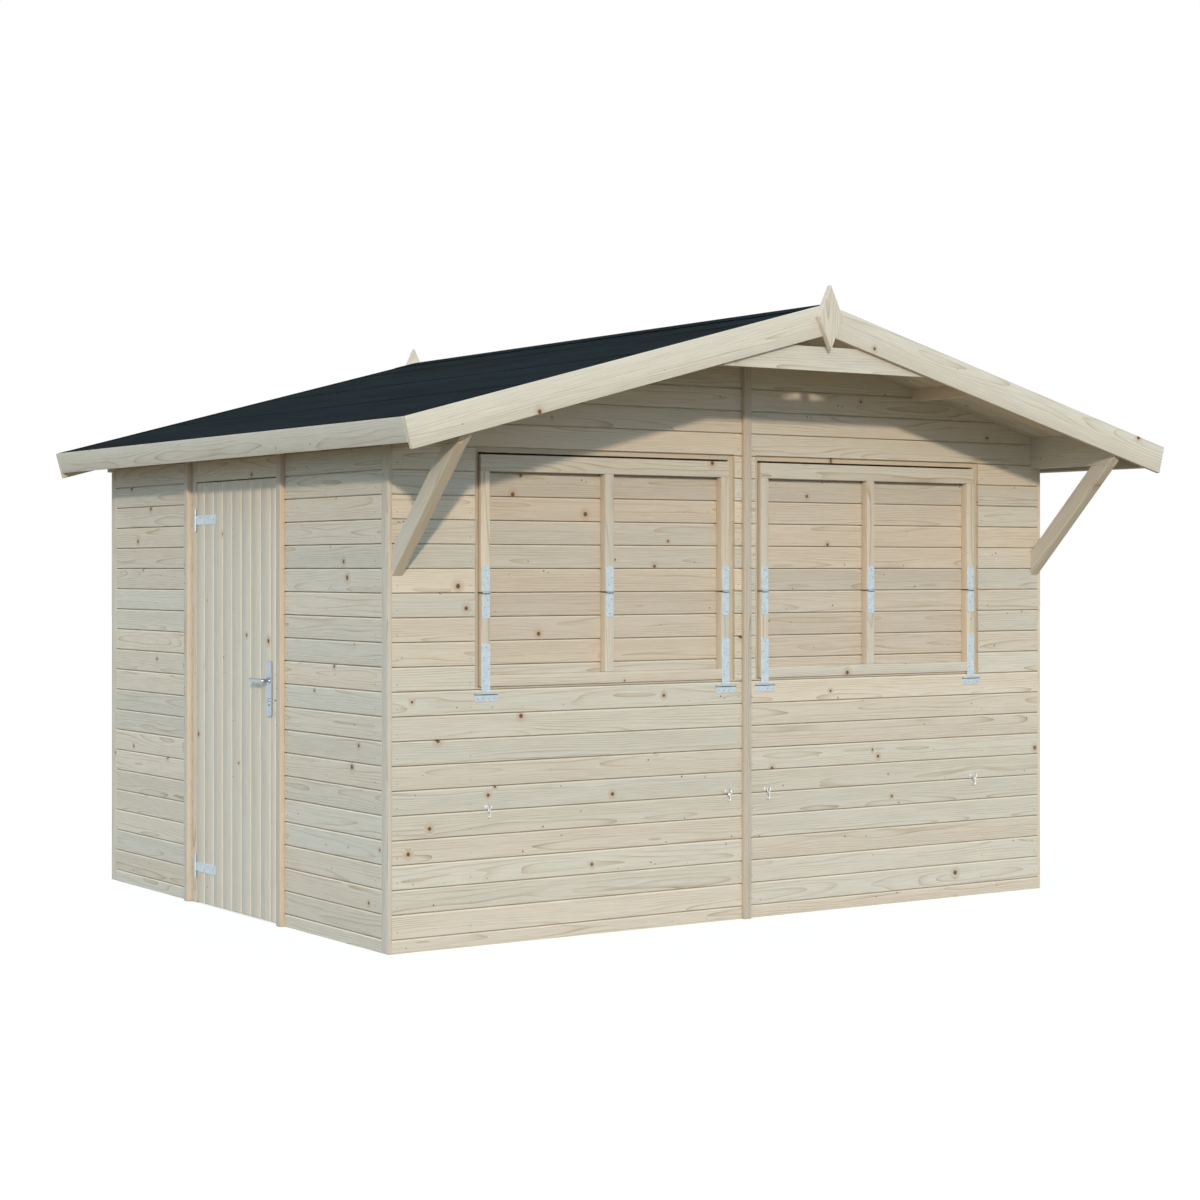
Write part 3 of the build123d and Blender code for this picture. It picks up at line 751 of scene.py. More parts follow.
cap_swell = 0.0006
cap_shoulder = cap_top - cap_round * np.tan(pitch) + cap_swell
cap_section = [
    (-cap_run, -cap_fall),
    (0, cap_under),
    (cap_run, -cap_fall),
    (cap_run, -cap_fall + cap_thick),
    (cap_round, cap_shoulder),
    (0, cap_top),
    (-cap_round, cap_shoulder),
    (-cap_run, -cap_fall + cap_thick),
]
felt_runs.append(timber(beam_axes, (0, 0, ridge_top), cap_section, *overhang, (0, 0)))
gather("felt_sheets", felt_runs, bitumen_felt, "roof_felt", slot="felt")


# Barge boards and eave fascias
# Planed boards, 20 mm thick, nailed over the ends of the roof timbers. The barge boards
# are 120 mm wide and plumb-cut where they meet; the fascias are 95 mm wide.

barge = 0.120
fascia = 0.095
mitre_gap = 0.0003
for hand, node in ((1, "right_barge_boards"), (-1, "left_barge_boards")):
    runs = []
    for start in (overhang[0] - edge_board, overhang[1]):
        outline = oblong((start, start + edge_board), (-barge, 0), timber_ease)
        mitre = -outline[:, 1] * np.tan(pitch) + mitre_gap
        board = (slope_axes(hand), (0, 0, ridge_top), outline, mitre, slope_length)
        runs.append(timber(*board, (0.001, timber_ease)))
    gather(node.replace("barge", "verge"), runs, planed_spruce, node)

fascia_runs = []
for hand in (1, -1):
    down, rear, up = slope_axes(hand)
    outline = oblong((roof_end, slope_length), (-fascia, 0), timber_ease)
    fascia_runs.append(timber([rear, down, up], (0, 0, ridge_top), outline, *overhang))
gather("eave_trim", fascia_runs, planed_spruce, "eave_fascias")


# Front collar
# A planed tie, 102 mm deep, nailed level behind the front barge boards under the ridge.
# Its upper corners are cut to the slope.

collar_drop = 0.270
collar_depth = 0.102
collar_half = 0.620
collar_steps = 8
collar_low = ridge_top - collar_drop
collar_high = collar_low + collar_depth
collar_out = (-overhang[0] - edge_board, -overhang[0])
collar_level = np.linspace(collar_low + timber_ease, collar_high - timber_ease, collar_steps)
collar_face = np.column_stack([collar_level, np.full(collar_steps, collar_out[1])])
collar_back = np.column_stack([collar_level[::-1], np.full(collar_steps, collar_out[0])])
collar_section = np.concatenate([collar_face, collar_back])
collar_reach = np.minimum(collar_half, (roof_under - collar_section[:, 0]) / np.tan(pitch))
collar_run = timber(front_axes, (0, 0, 0), collar_section, -collar_reach, collar_reach)
gather("collar_tie", [collar_run], planed_spruce, "front_collar")


# Finials
# A kite of 24 mm spruce on each gable, over the mitre of the barge boards, with a
# bevel round its outer face and the fibres upright.

kite_wide = 0.0625
kite_high = 0.130
kite_thick = 0.024
kite_bevel = 0.004
kite_ease = 0.002
kite_drop = 0.056
kite_middle = ridge_top - kite_drop
kite = eased([(0, -kite_high), (kite_wide, 0), (0, kite_high), (-kite_wide, 0)], kite_ease)
finial_runs = []
for face, out in ((overhang[0] - edge_board, -1), (overhang[1] + edge_board, 1)):
    place = ([(0, out, 0), (0, 0, 1), (1, 0, 0)], (0, face, kite_middle))
    finial_runs.append(timber(*place, kite[:, ::-1], 0, kite_thick, (0, kite_bevel), fibre=1))
gather("kite_finials", finial_runs, planed_spruce, "finials")


# Door leaf
# Nine upright boards from one quarter-sawn log, 16 mm thick, with V grooves whose bevels
# are painted pale as a painted highlight. Two ledges and a diagonal are screwed across the back.

door_face = -half_width
door_thick = 0.016
door_span = (0.955 + front_y, 1.723 + front_y)
door_rise = (0.005, 1.837)
door_board = 0.0917
first_door_joint = 1.0015 + front_y
door_joints = np.concatenate(
    [[door_span[0]], first_door_joint + door_board * np.arange(8), [door_span[1]]]
)
door_axes = [(0, 0, 1), (0, 1, 0), (-1, 0, 0)]
door_tone = 0.92
door_gap = 0.0001
near_bevel = (0.0058, 0.0030)
far_bevel = (0.0034, 0.0020)
pith_beside = 0.14
pith_behind = 0.03
door_runs = []
for near, far in zip(door_joints[:-1], door_joints[1:]):
    outline = [
        (near + door_gap, -near_bevel[1]),
        (near + near_bevel[0], 0),
        (far - far_bevel[0], 0),
        (far - door_gap, -far_bevel[1]),
        (far - door_gap, -door_thick),
        (near + door_gap, -door_thick),
    ]
    pith = (far + pith_beside, -pith_behind)
    cut = (log_cut()[0], door_tone)
    place = (door_axes, (door_face, 0, 0), outline, *door_rise)
    door_runs.append(timber(*place, cut=cut, centre=pith))
gather("door_boards", door_runs, planed_spruce, "door_leaf", body="door")

ledge_back = door_face + door_thick
ledge_heights = (0.160, 1.675)
ledge_half = 0.0475
ledge_out = (0, 0.020)
ledge_ease = 0.004
ledge_inset = 0.040
ledge_span = (door_span[0] + ledge_inset, door_span[1] - ledge_inset)
ledge_axes = [(0, 1, 0), (0, 0, 1), (1, 0, 0)]
ledge_runs = []
for height in ledge_heights:
    outline = oblong((height - ledge_half, height + ledge_half), ledge_out, ledge_ease)
    ledge_runs.append(timber(ledge_axes, (ledge_back, 0, 0), outline, *ledge_span))
diagonal_seat = 0.1425
lean = np.array([-np.ptp(ledge_span), np.ptp(ledge_heights) - diagonal_seat])
lean_length = np.linalg.norm(lean)
lean_y, lean_z = lean / lean_length
diagonal_axes = [(0, lean_y, lean_z), (0, lean_z, -lean_y), (1, 0, 0)]
diagonal_half = diagonal_seat / 2 * -lean_y
diagonal_outline = oblong((-diagonal_half, diagonal_half), ledge_out, ledge_ease)
diagonal_foot = (ledge_back, ledge_span[1], ledge_heights[0] + diagonal_seat / 2)
level_skew = diagonal_outline[:, 0] * lean_y / lean_z
plumb_skew = diagonal_outline[:, 0] * lean_z / lean_y
level_low = (ledge_heights[0] + ledge_half - diagonal_foot[2]) / lean_z
level_high = (ledge_heights[1] - ledge_half - diagonal_foot[2]) / lean_z
diagonal_low = np.maximum(level_low + level_skew, -plumb_skew)
diagonal_high = np.minimum(level_high + level_skew, lean_length - plumb_skew)
ledge_runs.append(
    timber(diagonal_axes, diagonal_foot, diagonal_outline, diagonal_low, diagonal_high)
)
gather("door_bracing", ledge_runs, planed_spruce, "door_ledges", body="door")


# Door hinges
# Galvanised T hinges, 3 mm thick. The long straps are screwed to the door, and the cross
# bars to the rear jamb strip; rolled knuckles turn on a riveted pin.

# Galvanised steel: pale bluish zinc, satin, with a faint spangle of crystals 9 mm across
spangle_size = 0.009
smear_size = 0.03
galvanised_steel = substance("galvanised_steel")
zinc_place = add(galvanised_steel, "TexCoord").outputs["Object"]
zinc_cells = add(
    galvanised_steel, "TexVoronoi", {"Vector": zinc_place, "Scale": 1 / spangle_size}
).outputs["Color"]
zinc_lot = add(galvanised_steel, "SeparateColor", {"Color": zinc_cells}).outputs["Red"]
zinc_smear = add(
    galvanised_steel, "TexNoise", {"Vector": zinc_place, "Scale": 1 / smear_size, "Detail": 3.0}
).outputs[0]
zinc_blend = add(
    galvanised_steel, "Math", {0: zinc_lot, 1: zinc_smear}, operation="MULTIPLY"
).outputs[0]
zinc_colour = add(
    galvanised_steel,
    "Mix",
    {0: zinc_blend, 6: linear("#BECBD4"), 7: linear("#D8E2E8")},
    data_type="RGBA",
).outputs[2]
# Painted shade: the drive of each screw has the tone 0 and the underside of a level knuckle 0.05,
# and the zinc is painted dark there. The dulled nails have the tone 0.2
zinc_tone = add(galvanised_steel, "Attribute", attribute_name="tone").outputs["Fac"]
zinc_shade_and_dulling = add(
    galvanised_steel, "MapRange", {0: zinc_tone, 1: 0.0, 2: 0.4, 3: 0.08, 4: 1.0}
).outputs[0]
zinc_shade = add(
    galvanised_steel, "HueSaturation", {"Color": zinc_colour, "Value": zinc_shade_and_dulling}
).outputs[0]
zinc_dull = add(
    galvanised_steel, "MapRange", {0: zinc_blend, 1: 0.0, 2: 0.8, 3: 0.52, 4: 0.36}
).outputs[0]
zinc_surface = {"Base Color": zinc_shade, "Metallic": 0.6, "Roughness": zinc_dull}
connect(galvanised_steel, "Principled BSDF", zinc_surface)


def turned(axes, origin, heights, radii, around=18):
    """Turned piece: at height h along its axis it is a circle of radius r(h)."""
    axes = np.asarray(axes, float)
    t = np.linspace(0, 2 * np.pi, around, endpoint=False) * np.sign(np.linalg.det(axes))
    heights = np.asarray(heights, float)[:, None]
    radii = np.asarray(radii, float)[:, None]
    along = np.broadcast_to(heights, (len(heights), around))
    grid = np.stack([along, radii * np.cos(t), radii * np.sin(t)], axis=-1)
    return skin(grid @ axes + np.asarray(origin, float))


def screw(axes, origin, radius=0.0042):
    """Countersunk screw head that stands 0.7 mm proud, with a hollow drive in its middle."""
    around = 14
    radii = radius * np.array([1.0, 0.96, 0.75, 0.46, 0.40])
    heights = [-0.0005, 0.0004, 0.0007, 0.0007, -0.0002]
    run = turned(axes, origin, heights, radii, around)
    # Painted shade: the drive's rings take the tone 0, which the zinc paints dark in the hollow
    run["tone"] = np.repeat([0.5, 0.5, 0.5, 0.0, 0.0], around)
    return run


pin_out = 0.005
pin_radius = 0.0026
knuckle_radius = 0.0045
plain_metal = (np.zeros(3), 0.5)


def barrel(pin, out, origin, span, radius=knuckle_radius):
    """Rolled knuckle or pin between two places along the pin, with its ends eased.

    The underside of a level one is painted dark, as painted shade.
    """
    centre = np.asarray(origin, float) + np.asarray(out) * pin_out + np.asarray(pin) * span[0]
    ease = 0.0006
    length = span[1] - span[0]
    heights = [0, ease, length - ease, length]
    radii = [radius - ease, radius, radius, radius - ease]
    run = turned([pin, out, np.cross(pin, out)], centre, heights, radii, 16)
    level = np.abs(np.dot(pin, (0, 0, 1))) < 0.5
    shaded_underside = run["points"][:, 2] < centre[2] - 0.0005
    # Painted shade: the lower half of a level knuckle gets the tone 0.05, which the zinc paints dark
    run["tone"] = np.where(level & shaded_underside, 0.05, 0.5)
    return run


def strap_leaf(strap, pin, out, origin, reach, width, spans, holes):
    """Hinge leaf: a plate with a rounded tip, a tongue and knuckle at each span, and screws."""
    strap, pin, out = (np.asarray(way, float) for way in (strap, pin, out))
    plate = 0.003
    bed = 0.0001
    shoulder = knuckle_radius + 0.0005
    outline = oblong((shoulder, reach), (-width / 2, width / 2), 0.005)
    square = outline[:, 0] < (shoulder + reach) / 2
    outline[square, 0] = np.minimum(outline[square, 0], shoulder + 0.0004)
    ways = [out, strap, pin]
    runs = [timber(ways, origin, outline, bed, plate, (0, 0.0007), plain_metal)]
    for span in spans:
        tongue = oblong((0, shoulder + 0.001), span, 0.0003)
        runs.append(timber(ways, origin, tongue, bed, plate, (0, 0.0004), plain_metal))
        runs.append(barrel(pin, out, origin, span))
    for along, beside_it in holes:
        spot = np.asarray(origin) + strap * along + pin * beside_it + out * plate
        runs.append(screw(ways, spot))
    return runs


# Each leaf is given by its reach, its width and the spans of its knuckles
pin_inset = 0.003
hinge_pin_y = doorway[1] - pin_inset
door_strap = (0.200, 0.042, [(-0.021, 0.021)])
door_holes = [(0.045, 0.009), (0.085, -0.009), (0.125, 0.009), (0.178, 0.0)]
door_bar = (0.021, 0.100, [(-0.05, -0.0215), (0.0215, 0.05)])
door_bar_holes = [(0.0125, -0.036), (0.0125, 0.0), (0.0125, 0.036)]
door_pin = (-0.052, 0.052)
up = (0, 0, 1)
down_way = (0, 0, -1)
left_way = (-1, 0, 0)
door_strap_runs = []
door_bar_runs = []
for height in ledge_heights:
    spot = (door_face, hinge_pin_y, height)
    door_strap_runs += strap_leaf((0, -1, 0), up, left_way, spot, *door_strap, door_holes)
    door_bar_runs += strap_leaf((0, 1, 0), down_way, left_way, spot, *door_bar, door_bar_holes)
    door_bar_runs.append(barrel(up, left_way, spot, door_pin, pin_radius))
straps = ("door_hinge_straps", door_strap_runs, galvanised_steel, "door_straps")
gather(*straps, body="door", slot="zinc")
gather("jamb_hinge_bars", door_bar_runs, galvanised_steel, "door_hinge_bars", slot="zinc")


# Lock plates and lever
# Long back plates of brushed stainless steel on both faces of the door, with a profile
# cylinder below a straight lever that turns on a neck and points to the hinges.

# Brushed stainless steel: fine lines along the plate blur the reflections into bands.
# The lines are finer than 0.1 mm and are drawn at 1 mm
brushed_steel = substance("brushed_steel")
brush_place = add(brushed_steel, "TexCoord").outputs["Object"]
brush_way = add(
    brushed_steel, "VectorMath", {0: brush_place, 1: (1000.0, 1000.0, 30.0)}, operation="MULTIPLY"
).outputs[0]
brush_lines = add(
    brushed_steel, "TexNoise", {"Vector": brush_way, "Scale": 1.0, "Detail": 2.0}
).outputs[0]
brush_colour = add(
    brushed_steel,
    "Mix",
    {0: brush_lines, 6: linear("#9CA6B1"), 7: linear("#BEC7CF")},
    data_type="RGBA",
).outputs[2]
brush_dull = add(
    brushed_steel, "MapRange", {0: brush_lines, 1: 0.3, 2: 0.7, 3: 0.24, 4: 0.36}
).outputs[0]
brush_surface = {"Base Color": brush_colour, "Metallic": 1.0, "Roughness": brush_dull}
connect(brushed_steel, "Principled BSDF", brush_surface)

spindle = np.array([door_face, 1.001 + front_y, 1.000])
door_sides = ((-1, spindle), (1, spindle + [door_thick, 0, 0]))
plate_thick = 0.008
plate_half = 0.0215
plate_rise = (-0.148, 0.082)
plate_corner = 0.009
plate_outline = oblong((-plate_half, plate_half), plate_rise, plate_corner)
plate_screws = (0.068, -0.134)
rose = ([0.0075, 0.0105, 0.0115, 0.0115], [0.0125, 0.0125, 0.0115, 0.0082])
key_drop = 0.082
key_barrel = ([0.0075, 0.0112, 0.0118, 0.0118], [0.009, 0.009, 0.0083, 0.002])
key_lug = oblong((-0.005, 0.005), (-0.105, -0.084), 0.0048)
key_slot = oblong((-0.0009, 0.0009), (-0.0875, -0.0765), 0.0004)
plate_runs = []
for out, seat in door_sides:
    way = [(out, 0, 0), (0, 1, 0), (0, 0, 1)]
    plate_runs.append(timber(way, seat, plate_outline, 0, plate_thick, (0, 0.0022)))
    plate_runs.append(turned(way, seat, *rose, 24))
    plate_runs.append(turned(way, seat - [0, 0, key_drop], *key_barrel, 24))
    plate_runs.append(timber(way, seat, key_lug, 0.0075, 0.0118, (0, 0.0007)))
    plate_runs.append(timber(way, seat, key_slot, 0.0115, 0.0122, (0, 0.0002)))
    for rise in plate_screws:
        plate_runs.append(screw(way, seat + [out * plate_thick, 0, rise], 0.0045))
gather("lock_back_plates", plate_runs, brushed_steel, "lock_plates", body="door", slot="lever")


def bent(path, normal, radius, around=14):
    """Round rod along a path in one plane: P(s) + r(s) (cos t N(s) + sin t B).

    B is the plane's normal, and N is square to it and to the path's tangent.
    """
    path = np.asarray(path, float)
    normal = np.asarray(normal, float)
    tangent = np.gradient(path, axis=0)
    tangent /= np.linalg.norm(tangent, axis=1)[:, None]
    beside_path = np.cross(normal, tangent)
    t = np.linspace(0, 2 * np.pi, around, endpoint=False)[None, :, None]
    radius = np.broadcast_to(np.asarray(radius, float), len(path))[:, None, None]
    ring = np.cos(t) * beside_path[:, None] + np.sin(t) * normal
    return skin(path[:, None] + radius * ring)


bend = 0.016
grip_out = 0.044
turn = np.linspace(0, np.pi / 2, 12)
neck = grip_out - bend + bend * np.sin(turn)
swept = bend * (1 - np.cos(turn))
lever_out = np.concatenate([[0.006, 0.018], neck, np.full(7, grip_out)])
lever_along = np.concatenate([[0.0, 0.0], swept, np.linspace(0.030, 0.0975, 5), [0.0985, 0.099]])
grip_thick = np.linspace(0.0083, 0.0088, 5)
lever_thick = np.concatenate([np.full(14, 0.0080), grip_thick, [0.0078, 0.0050]])
lever_runs = []
for out, seat in door_sides:
    path = seat + np.stack([out * lever_out, lever_along, np.zeros(21)], axis=1)
    lever_runs.append(bent(path, up, lever_thick, 20))
spindle_end = spindle - [0.004, 0, 0]
lever_runs.append(turned(np.eye(3), spindle_end, [0, 0.024], [0.004, 0.004], 12))
gather("lever_pair", lever_runs, brushed_steel, "lever_handle", body="lever", slot="lever")


# Serving hatches
# Each hatch has two boarded leaves behind planted stiles and a rail of planed spruce.
# The stiles of both leaves line up, and the boards keep the joints of the wall.

hatch_sides = (0.082, 1.290)
lower_span = (1.003, 1.3655)
upper_span = (1.3705, 1.908)
stile = 0.042
stile_depth = 0.038
stile_middles = (hatch_sides[0] + stile / 2, sum(hatch_sides) / 2, hatch_sides[1] - stile / 2)
outer_stiles = (stile_middles[0], stile_middles[-1])
lower_rail_depth = 0.045
upper_rail_depth = 0.065
lower_rail = (lower_span[0], lower_span[0] + lower_rail_depth)
upper_rail = (upper_span[1] - upper_rail_depth, upper_span[1])
fold_course = 14
fold_joint = first_joint + fold_course * board_step
lower_boards = (lower_span[0], fold_joint + tongue_rise)
upper_boards = (fold_joint, upper_span[1])


def leaf_timbers(axes, span, rail):
    """A rail across the whole leaf and three stiles that butt against it, flush outside."""
    origin = (0, front_y, 0)
    upright = [axes[1], axes[0], axes[2]]
    out = (-stile_depth, 0)
    overlap = 0.0002
    runs = [timber(axes, origin, oblong(rail, out), *hatch_sides)]
    low = rail[1] - overlap if rail[0] == span[0] else span[0]
    high = rail[0] + overlap if rail[1] == span[1] else span[1]
    for x in stile_middles:
        runs.append(timber(upright, origin, oblong((x - stile / 2, x + stile / 2), out), low, high))
    return runs


def leaf_boarding(axes, span):
    """Level boards behind the stiles, cut at the leaf's own edges."""
    runs = []
    origin = (0, front_y + stile_depth, 0)
    for course in courses(*span):
        runs += shiplap(axes, origin, course, span, *hatch_sides, log_cut())
    return runs


leaves = (
    ("counter", "lower", lower_span, lower_rail, lower_boards),
    ("flap", "upper", upper_span, upper_rail, upper_boards),
)
for hand, axes in (("right", front_axes), ("left", mirror_axes)):
    for leaf, level, span, rail, boards in leaves:
        body = f"{hand}_{leaf}"
        node = f"{hand}_{level}"
        runs = leaf_timbers(axes, span, rail)
        gather(f"{body}_frame", runs, planed_spruce, f"{node}_frame", body=body)
        runs = leaf_boarding(axes, boards)
        # The boards behind the stiles are in the shaded spruce, as painted shade
        gather(f"{body}_boarding", runs, shaded_spruce, f"{node}_boards", body=body)


# Hatch hinges
# Galvanised strap hinges across the fold of each stile, and T hinges at the foot of the
# outer stiles whose cross bars are screwed to the wall boards.

split = 1.368
t_pin = 0.976
fold_width = 0.036
fold_half = fold_width / 2
knuckle_share = 0.34
knuckle_gap = 0.0005
fold_middle = knuckle_share * fold_half
fold_outer = [(fold_middle + knuckle_gap, fold_half), (-fold_half, -fold_middle - knuckle_gap)]
low_strap = (0.100, fold_width, fold_outer)
low_holes = [(0.028, 0.008), (0.055, -0.008), (0.084, 0.0)]
high_strap = (0.105, fold_width, [(-fold_middle, fold_middle)])
high_holes = [(0.030, 0.008), (0.058, -0.008), (0.089, 0.0)]
t_strap = (0.198, 0.040, [(-0.020, 0.020)])
t_holes = [(0.050, 0.010), (0.095, -0.010), (0.140, 0.010), (0.180, 0.0)]
bar_width = 0.102
bar_half = bar_width / 2
wall_bar = (0.030, bar_width, [(0.0205, bar_half), (-bar_half, -0.0205)])
wall_bar_holes = [(0.019, -0.038), (0.019, -0.013), (0.019, 0.013), (0.019, 0.038)]
climbing = (up, (-1, 0, 0), (0, -1, 0))
hanging = (down_way, (1, 0, 0), (0, -1, 0))
wall_bar_runs = []
for hand, sign in (("right", 1), ("left", -1)):
    counter_runs = []
    flap_runs = []
    for x in stile_middles:
        spot = (sign * x, front_y, split)
        counter_runs += strap_leaf(*hanging, spot, *low_strap, low_holes)
        counter_runs.append(barrel(*climbing[1:], spot, (-fold_half, fold_half), pin_radius))
        flap_runs += strap_leaf(*climbing, spot, *high_strap, high_holes)
    for x in outer_stiles:
        spot = (sign * x, front_y, t_pin)
        counter_runs += strap_leaf(*climbing, spot, *t_strap, t_holes)
        wall_bar_runs += strap_leaf(*hanging, spot, *wall_bar, wall_bar_holes)
        wall_bar_runs.append(barrel(*climbing[1:], spot, (-bar_half, bar_half), pin_radius))
    for leaf, level, runs in (("counter", "lower", counter_runs), ("flap", "upper", flap_runs)):
        hinges = (f"{hand}_{leaf}_hinges", runs, galvanised_steel, f"{hand}_{level}_straps")
        gather(*hinges, body=f"{hand}_{leaf}", slot="zinc")
gather("wall_hinge_bars", wall_bar_runs, galvanised_steel, "hatch_hinge_bars", slot="zinc")


# Screw eyes and hooks
# Four eyes of 4 mm galvanised wire screwed into the front wall below the hatches, each
# with a small hook hanging in it that holds the folded leaf.

# Bright zinc plate on drawn wire, a little clouded from place to place
cloud_size = 0.004
plated_wire = substance("plated_wire")
wire_place = add(plated_wire, "TexCoord").outputs["Object"]
wire_cloud = add(
    plated_wire, "TexNoise", {"Vector": wire_place, "Scale": 1 / cloud_size, "Detail": 2.0}
).outputs[0]
wire_colour = add(
    plated_wire, "Mix", {0: wire_cloud, 6: linear("#DDE4E8"), 7: linear("#F7FAFA")}, data_type="RGBA"
).outputs[2]
wire_surface = {"Base Color": wire_colour, "Metallic": 1.0, "Roughness": 0.2}
connect(plated_wire, "Principled BSDF", wire_surface)

eye_height = 0.538
eye_out = 0.028
eye_radius = 0.012
eye_wire = 0.002
hook_radius = 0.0042
hook_wire = 0.0016
hook_stem_ends = (-0.004, -0.022)
hook_drop = 0.0225
shank_start = 0.0110
washer = ([-0.0005, 0.0012, 0.0016], [0.006, 0.006, 0.005])
wall_axes = [(0, -1, 0), (1, 0, 0), (0, 0, 1)]


def planar(first, last, axes):
    """Points of a path in one plane, given by its places along two of the three axes."""
    path = np.zeros((len(first), 3))
    path[:, axes] = np.stack([first, last], axis=1)
    return path


sweep = np.linspace(0, 2 * np.pi * 0.97, 40)
loop = planar(eye_radius * np.cos(sweep), eye_radius * np.sin(sweep), [1, 2])
shank = planar(np.linspace(shank_start, eye_out, 4), np.zeros(4), [1, 2])
curl = np.linspace(0.25 * np.pi, 2.0 * np.pi, 24)
hook_top = planar(hook_radius * np.cos(curl), hook_radius * np.sin(curl), [0, 2])
hook_stem = planar(np.full(5, hook_radius), np.linspace(*hook_stem_ends, 5), [0, 2])
tail = np.linspace(0, -1.1 * np.pi, 16)
crook = planar(hook_radius * np.cos(tail), hook_radius * np.sin(tail) - hook_drop, [0, 2])
hook = np.concatenate([hook_top, hook_stem, crook]) - [0.0, 0.0, eye_radius]
eye_runs = []
for sign in (1, -1):
    for x in outer_stiles:
        middle = np.array([sign * x, front_y - eye_out, eye_height])
        for path in (loop, shank):
            eye_runs.append(bent(middle + path, (1, 0, 0), eye_wire, 12))
        seat = (sign * x, front_y, eye_height)
        eye_runs.append(turned(wall_axes, seat, *washer, 16))
        eye_runs.append(bent(middle + hook, (0, -1, 0), hook_wire, 10))
gather("wall_eyes", eye_runs, plated_wire, "eye_hooks", slot="zinc")


# Nails
# Galvanised flat-headed nails, 5 mm across, one through each board at every stud. They
# are sunk nearly flush and have dulled.

nail_rise = 0.026
nail_count = 21
nail_levels = first_joint + board_step * np.arange(nail_count) + nail_rise
front_studs = np.array([-1.662, -1.338, -0.036, 0.036, 1.338, 1.662])
left_studs = front_y + np.array([0.10, 0.505, 0.845, 1.833, 2.1715, 2.58])
right_studs = front_y + np.array([0.10, 0.7005, 1.3155, 1.3645, 1.9795, 2.58])


def nailed(studs, along, axes, origin):
    """One nail head repeated: the same rings of points are moved to every place at once.

    The places lie on a grid of studs along one axis and levels up the other.
    """
    heights = [-0.0004, 0.0003, 0.0005]
    radii = [0.0026, 0.0026, 0.0018]
    nail = turned(axes, (0, 0, 0), heights, radii, 8)
    across, level = np.meshgrid(studs, nail_levels)
    places = planar(across.ravel(), level.ravel(), [along, 2]) + origin
    count = len(nail["points"])
    total = len(places)
    moved = np.arange(total)[:, None, None] * count
    caps = [cap + number * count for number in range(total) for cap in nail["caps"]]
    return {
        "points": (places[:, None] + nail["points"]).reshape(-1, 3),
        "quads": (nail["quads"] + moved).reshape(-1, 4),
        "caps": caps,
        "grain": np.zeros((total * count, 3)),
        "tone": np.full(total * count, 0.2),
        "side": np.zeros(total * len(nail["quads"]) + len(caps)),
    }


nail_runs = [
    nailed(front_studs, 0, wall_axes, [0, front_y, 0]),
    nailed(front_studs, 0, [(0, 1, 0), (1, 0, 0), (0, 0, 1)], [0, rear_y, 0]),
    nailed(left_studs, 1, [(-1, 0, 0), (0, 1, 0), (0, 0, 1)], [-half_width, 0, 0]),
    nailed(right_studs, 1, np.eye(3), [half_width, 0, 0]),
]
gather("board_nails", nail_runs, galvanised_steel, slot="zinc")


# Floor, light and camera
# A plain pale studio floor under one broad soft lamp and an even pale sky.
# The camera stands level at the corner of the hut, at eye height.


def looked_at(owner):
    """1 for what the camera sees, also by a reflection or through glass, and 0 for other light."""
    rays = add(owner, "LightPath").outputs
    direct = add(
        owner, "Math", {0: rays["Is Camera Ray"], 1: rays["Is Glossy Ray"]}, operation="MAXIMUM"
    ).outputs[0]
    either = {0: direct, 1: rays["Is Transmission Ray"]}
    return add(owner, "Math", either, operation="MAXIMUM").outputs[0]


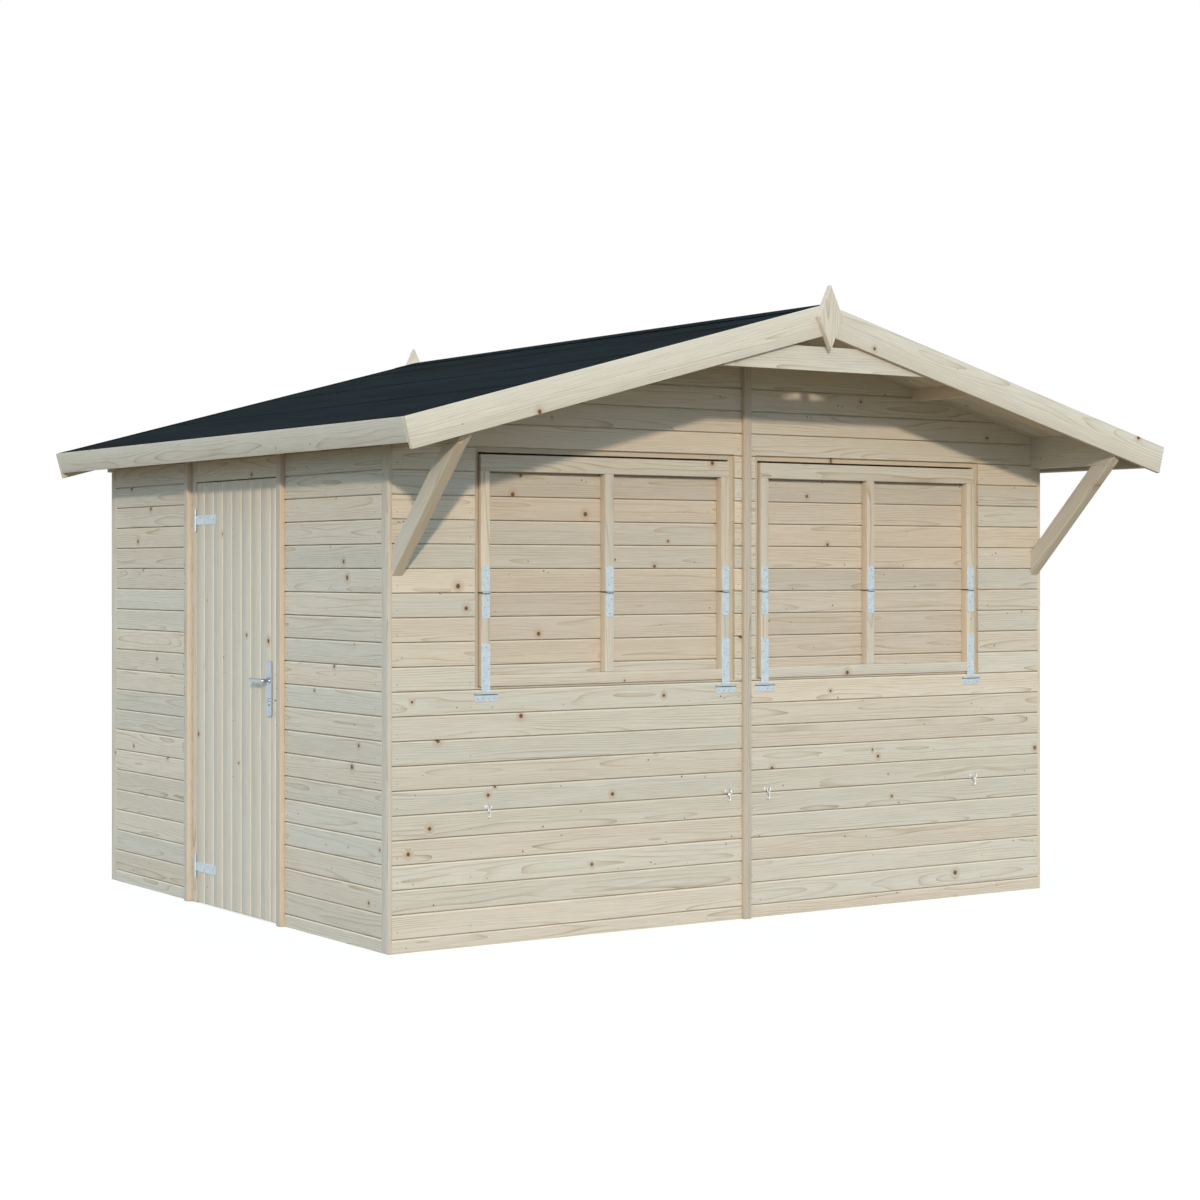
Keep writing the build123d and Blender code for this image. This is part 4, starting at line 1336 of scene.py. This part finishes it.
# Studio paint: pale grey, faintly mottled. The light that the floor throws up on the hut
# is dim and warm, as from trodden ground
floor_paint = substance("studio_floor")
floor_place = add(floor_paint, "TexCoord").outputs["Object"]
floor_mottle = add(floor_paint, "TexNoise", {"Vector": floor_place, "Scale": 0.5}).outputs[0]
floor_colour = add(
    floor_paint,
    "Mix",
    {0: floor_mottle, 6: linear("#A9A9A8"), 7: linear("#ADADAC")},
    data_type="RGBA",
).outputs[2]
floor_seen = looked_at(floor_paint)
floor_thrown = add(
    floor_paint, "Mix", {0: floor_seen, 6: linear("#66522A"), 7: floor_colour}, data_type="RGBA"
).outputs[2]
floor_glow = add(floor_paint, "Math", {0: floor_seen, 1: 0.66}, operation="MULTIPLY").outputs[0]
connect(
    floor_paint,
    "Principled BSDF",
    {
        "Base Color": floor_thrown,
        "Roughness": 0.9,
        "Emission Color": linear("#FFFFFF"),
        "Emission Strength": floor_glow,
    },
)
ground_mesh = bpy.data.meshes.new("studio_floor")
edge = 60.0
ground_corners = [(-edge, -edge, 0), (edge, -edge, 0), (edge, edge, 0), (-edge, edge, 0)]
ground_mesh.from_pydata(ground_corners, [], [(0, 1, 2, 3)])
ground_mesh.materials.append(floor_paint)
ground = bpy.data.objects.new("studio_floor", ground_mesh)
bpy.context.scene.collection.objects.link(ground)

world = bpy.data.worlds.new("pale_sky")
bpy.context.scene.world = world
world.use_nodes = True
connect(world, "Background", {"Color": linear("#D2EFFF"), "Strength": 1.08})
sky = world.node_tree.nodes["Background"].outputs[0]
backdrop = add(world, "Background", {"Color": linear("#FFFFFF"), "Strength": 1.0}).outputs[0]
sky_mix = add(world, "MixShader", {0: looked_at(world), 1: sky, 2: backdrop}).outputs[0]
connect(world, "World Output", {0: sky_mix})

key_lamp = bpy.data.lights.new("key_lamp", "SUN")
key_lamp.energy = 1.8
key_lamp.angle = np.radians(2.5)
key_lamp.color = linear("#FFEBD0")[:3]
key = bpy.data.objects.new("key_lamp", key_lamp)
key.rotation_euler = (np.radians(74), 0, np.radians(-30))
bpy.context.scene.collection.objects.link(key)

camera_data = bpy.data.cameras.new("corner_view")
camera_data.sensor_width = 36.0
camera_data.lens = 71.85
camera_data.shift_y = -0.0258
camera = bpy.data.objects.new("corner_view", camera_data)
camera.location = (-6.11, -9.085, 1.461)
camera.rotation_euler = (np.radians(90), 0, np.radians(-34.04))
bpy.context.scene.collection.objects.link(camera)
bpy.context.scene.camera = camera
bpy.context.scene.view_settings.view_transform = "Standard"
